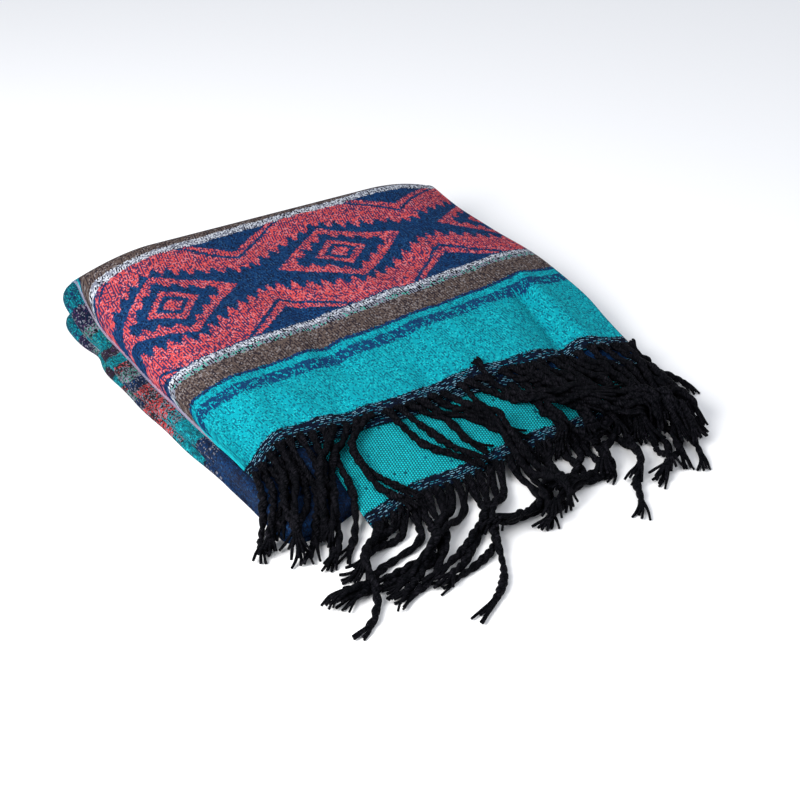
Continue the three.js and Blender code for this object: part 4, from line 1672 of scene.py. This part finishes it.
    def sheet(self, fold: Fold) -> Piece:
        """Makes a thin shell of one sheet.

        Args:
            fold: the sheet.

        Returns:
            The object.
        """
        points, start = self.points(fold)
        places = self.places(fold, points, start)
        count, rows = points.shape[:2]
        surface = Surface()
        index = surface.add(points) + np.arange(count * rows).reshape(count, rows)
        numbers = grid_faces(np.arange((count + 1) * rows).reshape(-1, rows))[:, ::-1]
        marks = np.concatenate([places, places[:1]]).reshape(-1, 4)
        surface.fill(grid_faces(np.concatenate([index, index[:1]]))[:, ::-1], marks[numbers])
        if fold.over_top:
            surface.fill(index[None, :, 0], places[None, :, 0])
        if fold.over_floor:
            surface.fill(index[None, ::-1, -1], places[None, ::-1, -1])
        piece = surface.build(fold.name, [FoldedFinish(fold.name, fold.shift).material()])
        thick = piece.modifiers.new("wall", "SOLIDIFY")
        thick.thickness = self.wall * MM
        thick.offset = -1.0
        return piece

    def folds(self) -> list[Fold]:
        """The three sheets from the top one down, whose bulges rise and fall along the sides.

        Each takes about a third of the height, and the upper ones more towards the front.

        Returns:
            The sheets.
        """
        start, run = self.fore
        drop = self.fore_drop * smoothstep((start - self.plan[:, 1]) / run)
        upper, lower = (share - drop for share in self.thirds)
        around = np.arange(len(self.plan)) * self.spacing
        wave = sum(size * np.sin(around / run + phase) for size, run, phase in self.waves)
        whole = np.ones(len(self.plan))
        high, mid, low = "upper_folded_cloth", "middle_folded_cloth", "lower_folded_cloth"
        return [
            Fold(high, whole, upper, 1 + 0.5 * wave, 0.0, (0.46, 0.45), over_top=True),
            Fold(mid, upper - self.gap, lower, 0.5 - wave, -14.0, (1.6, 0.08)),
            Fold(low, lower - self.gap, 0 * whole, 0.95 + wave, 10.0, (0.44, 0.44), over_floor=True),
        ]

    def upper_points(self) -> Array:
        """Points of the top sheet down to the end of its turn, which strands may lie on."""
        points, start = self.points(self.folds()[0])
        return points[:, : start + self.turn_rows]

    def build(self) -> None:
        """Makes the three sheets, attaches each to the root body and hides the imported part."""
        for fold in self.folds():
            Cut(fold.name, self.node, self.slot, fold.flat, ("floor",)).declare(self.sheet(fold))


# ---------- fringes


class Ground:
    """The highest surface over each small square of the floor, which strands are laid on."""

    cell = 2.0
    west = -300.0
    south = -460.0
    columns = 300
    rows = 350
    reach = 3

    def __init__(self) -> None:
        """Starts with the bare floor."""
        self.heights = np.zeros((self.columns, self.rows))

    def copy(self) -> "Ground":
        """The same ground, apart from the first.

        Returns:
            The copy.
        """
        twin = Ground()
        twin.heights = self.heights.copy()
        return twin

    def squares(self, x: Array, y: Array) -> tuple[Array, Array]:
        """Numbers of the squares that hold some places, which keep off the border.

        Args:
            x: places along X.
            y: places along Y.

        Returns:
            Their numbers along X and along Y.
        """
        i = ((x - self.west) / self.cell).astype(int)
        j = ((y - self.south) / self.cell).astype(int)
        last_i, last_j = self.columns - self.reach - 1, self.rows - self.reach - 1
        return np.clip(i, self.reach, last_i), np.clip(j, self.reach, last_j)

    def lay(self, points: Array) -> None:
        """Raises the ground to a grid of points, with two rounds of midpoints between them.

        Args:
            points: columns by rows by X, Y and Z.
        """
        for _ in range(2):
            points = self.doubled(self.doubled(points).swapaxes(0, 1)).swapaxes(0, 1)
        i, j = self.squares(points[..., 0], points[..., 1])
        np.maximum.at(self.heights, (i.ravel(), j.ravel()), points[..., 2].ravel())

    @staticmethod
    def doubled(points: Array) -> Array:
        """The points with a midpoint between each two along the first axis.

        Args:
            points: a grid of points.

        Returns:
            The finer grid.
        """
        made = np.repeat(points, 2, 0)[:-1]
        made[1::2] = (points[1:] + points[:-1]) / 2
        return made

    def near(self, x: Array, y: Array, radius: float) -> tuple[Array, Array, Array]:
        """Squares round some places, and the height of a ball's side over each.

        Args:
            x: places along X.
            y: places along Y.
            radius: of the ball.

        Returns:
            Square numbers along X and Y, and half the ball's height there, or less than
            nothing outside it.
        """
        reach = np.arange(-self.reach, self.reach + 1)
        di, dj = (a.ravel() for a in np.meshgrid(reach, reach, indexing="ij"))
        i, j = self.squares(x, y)
        i, j = i[..., None] + di, j[..., None] + dj
        dx = self.west + (i + 0.5) * self.cell - x[..., None]
        dy = self.south + (j + 0.5) * self.cell - y[..., None]
        inside = radius * radius - dx * dx - dy * dy
        return i, j, np.where(inside > 0, np.sqrt(np.abs(inside)), -1e3)

    def rest(self, x: Array, y: Array, radius: float) -> Array:
        """The lowest middle height of a ball that clears the ground at each place."""
        i, j, side = self.near(x, y, radius)
        return np.maximum((self.heights[i, j] + side).max(-1), radius)

    def lay_strand(self, path: Array, radius: float) -> None:
        """Raises the ground to a strand.

        Args:
            path: points along its middle.
            radius: of the strand.
        """
        i, j, side = self.near(path[:, 0], path[:, 1], radius)
        np.maximum.at(self.heights, (i, j), path[:, 2:3] + side)


@dataclass(frozen=True)
class Lock:
    """A few strands that leave the edge side by side and lie together.

    Roots run from start to end along X. The tips lie round (tip_x, tip_y), a fan apart, and
    the strands swing sideways by bow.
    """

    start: float
    end: float
    count: int
    tip_x: float
    tip_y: float
    fan: float
    bow: float

    def shares(self) -> Array:
        """Place of each strand in the lock, from 0 to 1."""
        return np.linspace(0, 1, self.count) if self.count > 1 else np.array([0.5])


UNDER_LOCKS = (
    Lock(-127, -109, 3, -190, -306, 8, -4),
    Lock(-99, -81, 3, -214, -332, 8, 6),
    Lock(-136, -136, 1, -218, -378, 0, -6),
    Lock(-70, -50, 3, -182, -350, 8, 4),
    Lock(-39, -18, 3, -140, -354, 8, 4),
    Lock(-7, -7, 1, -122, -400, 0, -6),
    Lock(6, 28, 3, -66, -328, 9, 5),
    Lock(39, 61, 3, -22, -332, 10, -4),
    Lock(72, 92, 3, 20, -316, 10, 4),
    Lock(103, 103, 1, 44, -366, 0, 14),
    Lock(114, 134, 3, 68, -318, 9, -4),
    Lock(144, 155, 2, 90, -338, 14, 4),
    Lock(165, 185, 3, 134, -338, 10, -4),
)

SECOND_LOCKS = (
    Lock(-182, -162, 3, -214, -248, 9, 3),
    Lock(48, 48, 1, 43, -132, 0, 1),
    Lock(60, 70, 2, 50, -262, 12, 5),
    Lock(81, 101, 3, 88, -274, 11, -4),
    Lock(112, 132, 3, 118, -284, 11, 5),
    Lock(144, 158, 2, 140, -296, 12, -5),
    Lock(170, 188, 3, 163, -300, 10, 4),
)

TOP_LOCKS = (
    Lock(-197, -187, 2, -227, -258, 8, -5),
    Lock(-175, -153, 3, -208, -272, 8, -3),
    Lock(-143, -121, 3, -192, -288, 8, 3),
    Lock(-110, -96, 2, -184, -262, 9, -12),
    Lock(-84, -72, 2, -94, -264, 10, -36),
    Lock(-60, -38, 3, -12, -246, 13, 6),
    Lock(-26, -14, 2, 36, -238, 13, 6),
    Lock(0, 18, 2, 12, -322, 13, 7),
    Lock(60, 78, 3, 112, -244, 11, 8),
    Lock(88, 100, 2, 140, -266, 11, -5),
    Lock(111, 132, 3, 152, -288, 10, 6),
    Lock(143, 157, 2, 156, -314, 11, -6),
    Lock(167, 178, 2, 174, -316, 10, 5),
    Lock(187, 187, 1, 192, -304, 0, -9),
    Lock(194, 194, 1, 212, -254, 0, 10),
    Lock(25, 36, 2, 130, -242, 10, 10),
)


def resampled(paths: Array, starts: Array, ends: Array, steps: int) -> Array:
    """Parts of the paths, cut into even steps by length.

    Args:
        paths: strands by points.
        starts: where each part starts, in millimetres along its strand.
        ends: where it ends.
        steps: points of each part.

    Returns:
        Strands by steps by X, Y and Z.
    """
    parts = []
    for path, start, end in zip(paths, starts, ends):
        length = lengths(path)
        at = np.linspace(start, end, steps)
        parts.append(np.stack([np.interp(at, length, column) for column in path.T], -1))
    return np.array(parts)


@dataclass(frozen=True)
class Twist:
    """Two plies that are wound round each other.

    The circle and the plies are smaller at the strand's ends, by the shares root_circle,
    root_ply and tip_ply, and reach their full size over the runs. A waver is its size and its
    length along the strand.
    """

    plies: int = 2
    steps: int = 76
    sides: int = 8
    ply_radius: float = 2.3
    circle: float = 1.25
    pitch: float = 25.0
    pitch_stray: float = 0.3
    start_turn: float = 3.0
    root_run: float = 7.0
    root_circle: float = 0.5
    root_ply: float = 0.8
    tip_run: float = 5.0
    tip_ply: float = 0.75
    turn_waver: Pair = (0.8, 13.0)
    slack_waver: Pair = (0.2, 9.0)

    def angles(self, along: Array, number: Array) -> Array:
        """How far the first ply has turned: a turn a pitch, with a slow waver.

        Args:
            along: length along each strand.
            number: of the strand.

        Returns:
            Angles.
        """
        size, run = self.turn_waver
        pitch = self.pitch * (1 + self.pitch_stray * uneven(number + 0.3))
        waver = size * np.sin(along / run + 4 * uneven(number + 0.6))
        return TURN * along / pitch + self.start_turn * uneven(number) + waver

    def add(self, surface: Surface, paths: Array, ends: Array) -> None:
        """Adds the plies: a ply's middle is the strand's middle plus a small turning circle.

        Args:
            surface: what they are added to.
            paths: the strands.
            ends: where each strand stops being twisted.
        """
        line = resampled(paths, ends * 0, ends, self.steps)
        side, lift = square_to(line)
        along = np.linspace(0, 1, self.steps) * ends[:, None]
        number = np.arange(len(paths))[:, None]
        opening = smoothstep(along / self.root_run)
        closing = smoothstep((ends[:, None] - along) / self.tip_run)
        circle = self.circle * (self.root_circle + (1 - self.root_circle) * opening)
        ply_radius = self.ply_radius * (self.root_ply + (1 - self.root_ply) * opening)
        ply_radius = ply_radius * (self.tip_ply + (1 - self.tip_ply) * closing)
        size, run = self.slack_waver
        for ply in range(self.plies):
            angle = self.angles(along, number) + TURN * ply / self.plies
            slack = 1 + size * np.sin(along / run + 5 * uneven(number + ply))
            out = side * np.cos(angle)[..., None] + lift * np.sin(angle)[..., None]
            middle = line + out * (circle * slack)[..., None]
            thick = ply_radius * slack
            middle[..., 2] = np.maximum(middle[..., 2], thick)
            surface.add_tubes(middle, thick, self.sides, -angle / TURN, 1)


@dataclass(frozen=True)
class Brush:
    """Thin rods that spread out from the end of a twist.

    Spread is how far the outer rods stray to each side, and lift how far they rise. A brush
    shorter than full opens less. Taper is the share of the radius at the start and its loss
    up to the end, and reach the share of the length that a rod takes and its stray.
    """

    spread: float
    lift: float
    full: float = 21.0
    rods: int = 4
    steps: int = 10
    sides: int = 6
    radius: float = 1.5
    taper: Pair = (1.1, 0.35)
    lumps: Pair = (0.14, 6.0)
    reach: Pair = (0.85, 0.15)
    seat: float = 1.1
    spread_stray: float = 0.5
    spread_power: float = 1.3
    curl: Pair = (1.1, 4.5)
    rise_stray: float = 1.4
    rise_power: float = 1.5
    tone_step: float = 0.1

    def sideways(self, rod: int, side: float, number: Array, opened: Array) -> Array:
        """How far a rod lies beside its strand: a power of its share, plus a little curl.

        Args:
            rod: its number in the brush.
            side: its seat, from -1 to 1.
            number: of the strand.
            opened: how far the brush opens.

        Returns:
            Lengths, strands by steps.
        """
        share = np.linspace(0, 1, self.steps)
        stray = 1 + self.spread_stray * uneven(number * 3 + rod + 0.5)
        size, turns = self.curl
        curl = size * uneven(number + rod * 2.3) * np.sin(share * turns) * share
        apart = side * self.spread * opened * stray
        return apart * share**self.spread_power + side * self.seat + curl

    def add(self, surface: Surface, paths: Array, start: Array, end: Array) -> None:
        """Adds the rods.

        Args:
            surface: what they are added to.
            paths: the strands.
            start: where the rods leave each strand, in millimetres along it.
            end: where the longest ones end.
        """
        number = np.arange(len(paths))[:, None]
        share = np.linspace(0, 1, self.steps)
        opened = np.minimum(1, np.abs(end - start) / self.full)[:, None]
        thick, thinner = self.taper
        lump, lumps = self.lumps
        reach, stray = self.reach
        for rod in range(self.rods):
            side = 2 * rod / (self.rods - 1) - 1
            stop = start + (end - start) * (reach - stray * uneven(number[:, 0] * 7 + rod))
            line = resampled(paths, start, stop, self.steps)
            away = self.sideways(rod, side, number, opened)
            line = line + square_to(line)[0] * away[..., None]
            rise = self.rise_stray * uneven(number + rod * 5) * share**self.rise_power
            radius = self.radius * (1 + lump * np.sin(share * lumps + rod))
            radius = np.tile(radius * (thick - thinner * share), (len(paths), 1))
            line[..., 2] = np.maximum(line[..., 2] + self.lift * share + rise, radius)
            surface.add_tubes(line, radius, self.sides, radius * 0 + self.tone_step * rod, 1)


@dataclass
class Fringe:
    """A row of twisted strands on the narrow strip along a front edge.

    Sizes are in millimetres. A stray is the largest share, or length, by which strands differ
    at random.
    """

    name: str
    node: str
    locks: tuple[Lock, ...]
    stretch: Stretch
    slot: str = "fringe_yarn"
    wall: float = 2.5
    strip_columns: int = 180
    strip_rows: int = 5
    wander: float = 3.5
    wander_turns: Pair = (6.0, 3.0)
    wander_onset: float = 2.2
    calm_run: float = 70.0
    tip_stray: float = 7.0
    bow_stray: float = 0.3
    lead: float = 0.38
    short_lead: float = 0.1
    short_run: float = 40.0
    tuft: float = 14.0
    gather: float = 0.55
    steps: int = 72
    root_sink: float = 0.6
    root_slope: float = 0.35
    root_run: float = 5.0
    own_run: float = 14.0
    smoothings: int = 70
    lay_radius: float = 2.6
    lay_from: int = 4
    clearance: float = 3.1
    brush_stray: float = 0.35
    brush_most: float = 0.2
    brush_overlap: float = 5.0
    twist: Twist = Twist()
    at_tip: Brush = Brush(5.4, -1.2)
    at_root: Brush = Brush(4.8, 0.9)

    def root(self, lock: Lock, share: float) -> Array:
        """Where a strand leaves the strip, in plan.

        Args:
            lock: the strand's lock.
            share: its place in the lock.

        Returns:
            X and Y.
        """
        x = lock.start + (lock.end - lock.start) * share
        edge = float(self.stretch.front(np.array(x)))
        return np.array([x, edge - PACKET.seam - PACKET.strand_root])

    def tip(self, lock: Lock, share: float, root: Array, number: int) -> Array:
        """Where a strand ends, in plan: at its seat in the lock, a little nearer or farther.

        Args:
            lock: the strand's lock.
            share: its place in the lock.
            root: where it starts.
            number: its number in the fringe.

        Returns:
            X and Y.
        """
        middle = (lock.start + lock.end) / 2
        way = unit(np.array([lock.tip_x - middle, lock.tip_y - root[1]]))
        seat = (share - 0.5) * (lock.count - 1) * lock.fan * self.gather
        tip = np.array([lock.tip_x - way[1] * seat, lock.tip_y + way[0] * seat])
        return tip + way * self.tip_stray * uneven(number * 3 + lock.count)

    def wiggle(self, lock: Lock, seat: int, number: int, depth: float) -> Array:
        """Small sideways waves, which start softly and are smaller on a short strand.

        Args:
            lock: the strand's lock.
            seat: its number in the lock.
            number: its number in the fringe.
            depth: how far it reaches along Y.

        Returns:
            The way to the side at each step.
        """
        t = np.linspace(0, 1, self.steps)
        phase = math.pi * uneven(number + 0.7)
        least, stray = self.wander_turns
        waves = np.sin(t * (least + stray * uneven(seat + lock.end)) + phase) - math.sin(phase)
        onset = smoothstep(t * self.wander_onset)
        return self.wander * min(1.0, abs(depth) / self.calm_run) * waves * onset

    def plan(self, lock: Lock, seat: int, share: float, number: int) -> Array:
        """Where a strand runs, in plan, from its root in the strip to its tip.

        It leaves the edge straight, then leans over to its tip along a curve of the second
        degree, with a sideways swing of one half sine.

        Args:
            lock: the strand's lock.
            seat: its number in the lock.
            share: its place in the lock.
            number: its number in the fringe.

        Returns:
            Steps by X and Y.
        """
        t = np.linspace(0, 1, self.steps)
        root = self.root(lock, share)
        run = self.tip(lock, share, root, number) - root
        ahead = self.short_lead if abs(run[1]) < self.short_run else self.lead
        path = root + (t * (1 - 2 * ahead * (1 - t)))[:, None] * run
        path[:, 1] += 2 * t * (1 - t) * ahead * np.hypot(*run) * np.sign(run[1])
        bow = lock.bow * (1 + self.bow_stray * uneven(seat + lock.start)) * np.sin(math.pi * t)
        sideways = bow + self.wiggle(lock, seat, number, float(run[1]))
        return path + unit(np.array([-run[1], run[0]])) * sideways[:, None]

    def plans(self) -> Array:
        """Where each strand runs, in plan.

        Returns:
            Strands by steps by X and Y.
        """
        paths: list[Array] = []
        for lock in self.locks:
            for seat, share in enumerate(lock.shares()):
                paths.append(self.plan(lock, seat, share, len(paths)))
        return np.array(paths)

    def bridged(self, need: Array, root: float) -> Array:
        """A line over the heights that a strand needs, smoothed and lifted back in turns.

        Args:
            need: the least height at each step.
            root: height of the strand's root.

        Returns:
            The height at each step.
        """
        height = need.copy()
        for _ in range(self.smoothings):
            soft = height.copy()
            soft[1:-1] = (height[:-2] + 2 * height[1:-1] + height[2:]) / 4
            soft[-1] = min(soft[-1], soft[-2])
            height = np.maximum(soft, need)
            height[0] = root
        return height

    def settled(self, ground: Ground) -> Array:
        """Lays the strands down one after another.

        Each strand gets the height that every place under it needs, bridges hollows and
        bends over edges as yarn does. Near its root it doesn't lie on its neighbours.

        Args:
            ground: what lies there so far, which the strands are added to.

        Returns:
            Strands by steps by X, Y and Z.
        """
        paths = []
        own = ground.copy()
        for plan in self.plans():
            x, y = plan[:, 0], plan[:, 1]
            run = lengths(plan)
            root = PACKET.layer_top(x[:1], y[:1], self.stretch.layers)[0] - self.root_sink
            on_all, on_cloth = (floor.rest(x, y, self.clearance) for floor in (own, ground))
            need = np.where(run > self.own_run, on_all, on_cloth)
            need = np.where(run < self.root_run, root + self.root_slope * run, need)
            path = np.stack([x, y, self.bridged(need, root)], -1)
            own.lay_strand(path[self.lay_from :], self.lay_radius)
            paths.append(path)
        ground.heights[:] = own.heights
        return np.array(paths)

    def add_strands(self, surface: Surface, ground: Ground) -> None:
        """Adds the twisted strands, with a brush at each tip and a tuft at each root.

        Args:
            surface: what they are added to.
            ground: what lies there so far, which the strands are added to.
        """
        paths = self.settled(ground)
        length = np.linalg.norm(np.diff(paths, axis=1), axis=-1).sum(1)
        number = np.arange(len(paths))
        loose = self.at_tip.full * (1 + self.brush_stray * uneven(number * 5 + 1))
        ends = np.maximum(length - loose, length * (1 - self.brush_most))
        self.twist.add(surface, paths, ends)
        self.at_tip.add(surface, paths, ends - self.brush_overlap, length)
        self.at_root.add(surface, paths, np.full(len(paths), self.tuft), length * 0)
        LOG.info("%s: %d strands", self.name, len(paths))

    def build(self, ground: Ground, finishes: Sequence[Material]) -> Piece:
        """Makes the fringe.

        Args:
            ground: what lies there so far, which the strands are added to.
            finishes: of the strip and of the yarn.

        Returns:
            The object.
        """
        surface = Surface()
        strip = self.strip()
        u = lengths(strip)
        v = PACKET.strip_width + self.stretch.front(strip[..., 0]) - strip[..., 1]
        surface.add_sheet(strip, np.stack([u, v, v, u], -1), self.wall)
        self.add_strands(surface, ground)
        piece = surface.build(self.name, finishes)
        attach(piece, "root")
        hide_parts(self.node)
        return piece

    def strip(self) -> Array:
        """Upper face of the strip, columns by rows."""
        return self.stretch.strip().net(self.strip_columns, self.strip_rows)


# ---------- studio


@dataclass(frozen=True)
class Lamp:
    """A square soft light that looks at a point."""

    name: str
    place: Triple
    size: float
    power: float
    colour: Triple


@dataclass(frozen=True)
class Studio:
    """Pale floor, soft lights and the camera."""

    azimuth: float = -32.65
    elevation: float = 32.88
    distance: float = 1.5379
    target: Triple = (-0.01317, -0.1087, 0.0)
    lens: float = 76.5
    sensor: float = 36.0
    floor_half: float = 6.0
    floor_sink: float = 0.4
    floor_colour: tuple[float, float, float, float] = (0.97, 0.97, 0.98, 1.0)
    floor_feel: Feel = Feel(0.0, 0.9, 0.1)
    sky: tuple[float, float, float, float] = (0.9, 0.935, 1.0, 1.0)
    sky_strength: float = 0.6
    lit: Triple = (0.0, -0.05, 0.0)
    lamps: tuple[Lamp, ...] = (
        Lamp("key", (-1.15, -0.38, 0.86), 0.8, 30.0, (1.0, 0.99, 0.97)),
        Lamp("fill", (0.9, -1.6, 2.2), 2.0, 16.0, (0.97, 0.985, 1.0)),
    )

    @staticmethod
    def aim(thing: Piece, place: Vector, target: Vector) -> None:
        """Puts a light or camera in place, looking at a target."""
        thing.location = place
        thing.rotation_euler = (target - place).to_track_quat("-Z", "Y").to_euler()

    def camera(self) -> None:
        """Adds the camera: the azimuth turns it round the object from the front."""
        turn, rise = math.radians(self.azimuth), math.radians(self.elevation)
        back = Vector(
            (math.sin(turn) * math.cos(rise), -math.cos(turn) * math.cos(rise), math.sin(rise))
        )
        camera = bpy.data.objects.new("camera", bpy.data.cameras.new("camera"))
        camera.data.lens = self.lens
        camera.data.sensor_width = self.sensor
        bpy.context.scene.collection.objects.link(camera)
        target = Vector(self.target)
        self.aim(camera, target + back * self.distance, target)
        bpy.context.scene.camera = camera

    def floor(self) -> None:
        """Adds the floor, a hair under the shawl."""
        corners = np.array([[-1, -1, 0], [1, -1, 0], [1, 1, 0], [-1, 1, 0]]) * self.floor_half / MM
        surface = Surface()
        surface.add(corners - UP * self.floor_sink)
        surface.fill(np.array([[0, 1, 2, 3]]), np.zeros((1, 4, 4)))
        graph = Graph("floor")
        graph.shader.inputs["Base Color"].default_value = self.floor_colour
        graph.surface(self.floor_feel)
        surface.build("floor", [graph.material])

    def light(self) -> None:
        """Adds the lights and the pale surroundings."""
        for lamp in self.lamps:
            data = bpy.data.lights.new(lamp.name, "AREA")
            data.size = lamp.size
            data.energy = lamp.power
            data.color = lamp.colour
            thing = bpy.data.objects.new(lamp.name, data)
            bpy.context.scene.collection.objects.link(thing)
            self.aim(thing, Vector(lamp.place), Vector(self.lit))
        world = bpy.data.worlds.new("surroundings")
        world.use_nodes = True
        background = world.node_tree.nodes["Background"]
        background.inputs["Color"].default_value = self.sky
        background.inputs["Strength"].default_value = self.sky_strength
        bpy.context.scene.world = world
        bpy.context.scene.view_settings.view_transform = "Standard"

    def build(self) -> None:
        """Sets the whole stage."""
        self.camera()
        self.floor()
        self.light()


# ---------- the shawl


class Shawl:
    """The whole shawl: its panels, the folded layers under them and its three fringes."""

    hidden_back = -36.0
    second_west = -188.0
    inset = 0.8

    def __init__(self) -> None:
        """Lays out the stretches of cloth, from the top one down."""
        self.top = Stretch(PACKET.left, PACKET.right, PACKET.crest, PACKET.top_front, 0.0)
        self.second = Stretch(
            lambda y: np.full(np.shape(y), self.second_west),
            lambda y: PACKET.right(y) - self.inset,
            lambda x: np.full(np.shape(x), self.hidden_back),
            PACKET.second_front,
            1.0,
        )
        self.flap = replace(
            self.second, west=PACKET.flap_left, front=PACKET.flap_front, layers=2.0
        )

    def panels(self) -> list[tuple[Panel, Material]]:
        """The three panels from the lowest up, each with its finish.

        Returns:
            Pairs of a panel and its material.
        """
        navy = Stripes(-50.0, 450.0, (Band(-50, Yarn.NAVY, Yarn.INK, 0.3, Yarn.SLATE, 0.08),))
        teal = Stripes(-50.0, 450.0, (Band(-50, Yarn.PINE, Yarn.DEEP_TEAL, 0.4, Yarn.PINE, 0.2),))
        flap = Cut("flap_cloth", "under_flap", "woven_teal", (0.33, 0.22), ("upper_folded_cloth",))
        second = Cut("second_cloth", "second_panel", "woven_navy", (0.40, 0.14), ("flap_cloth",))
        top = Cut("top_cloth", "top_panel", "woven_stripes", (0.43, 0.41), ("second_cloth",))
        dotted = PlainFinish("woven_flap", teal, Weave(2.4, 2.7, Feel(1.1)), Yarn.AQUA, 0.99)
        plain = PlainFinish("woven_navy", navy, Weave(1.5, 1.8, Feel(0.4)), Yarn.SLATE, 0.1)
        return [
            (Panel(flap, self.flap, 130, 84), dotted.material()),
            (Panel(second, self.second, 150, 50), plain.material()),
            (TopPanel(top, self.top, 176, 132), StripedFinish().material()),
        ]

    def fringes(self) -> list[Fringe]:
        """The three fringes from the lowest up.

        Returns:
            The fringes, not yet built.
        """
        rows = (
            ("under_fringe", UNDER_LOCKS, self.flap, {"wander": 8.0, "tuft": 30.0}),
            ("second_fringe", SECOND_LOCKS, self.second, {"wander": 5.5}),
            ("top_fringe", TOP_LOCKS, self.top, {"wander": 4.5}),
        )
        return [
            Fringe(f"{node}_yarn", node, locks, stretch, **habit)
            for node, locks, stretch, habit in rows
        ]

    def build(self) -> None:
        """Makes every piece, lays the strands on the cloth and attaches each piece to the root body."""
        panels = self.panels()
        cloths = [panel.build(material) for panel, material in panels]
        folded = FoldedLayers()
        folded.build()
        fringes = self.fringes()
        ground = Ground()
        lying = [panel.outer() for panel, _ in panels] + [folded.upper_points()]
        for points in lying + [fringe.strip() for fringe in fringes]:
            ground.lay(points)
        finishes = [StripFinish().material(), YarnFinish().material()]
        for (panel, _), cloth, fringe in zip(panels, cloths, fringes):
            panel.cut.declare(cloth, [fringe.build(ground, finishes)])


def main() -> None:
    """Builds the studio, then the shawl piece by piece."""
    logging.basicConfig(level=logging.INFO, format="%(name)s: %(message)s")
    Studio().build()
    Shawl().build()


if __name__ == "__main__":
    main()
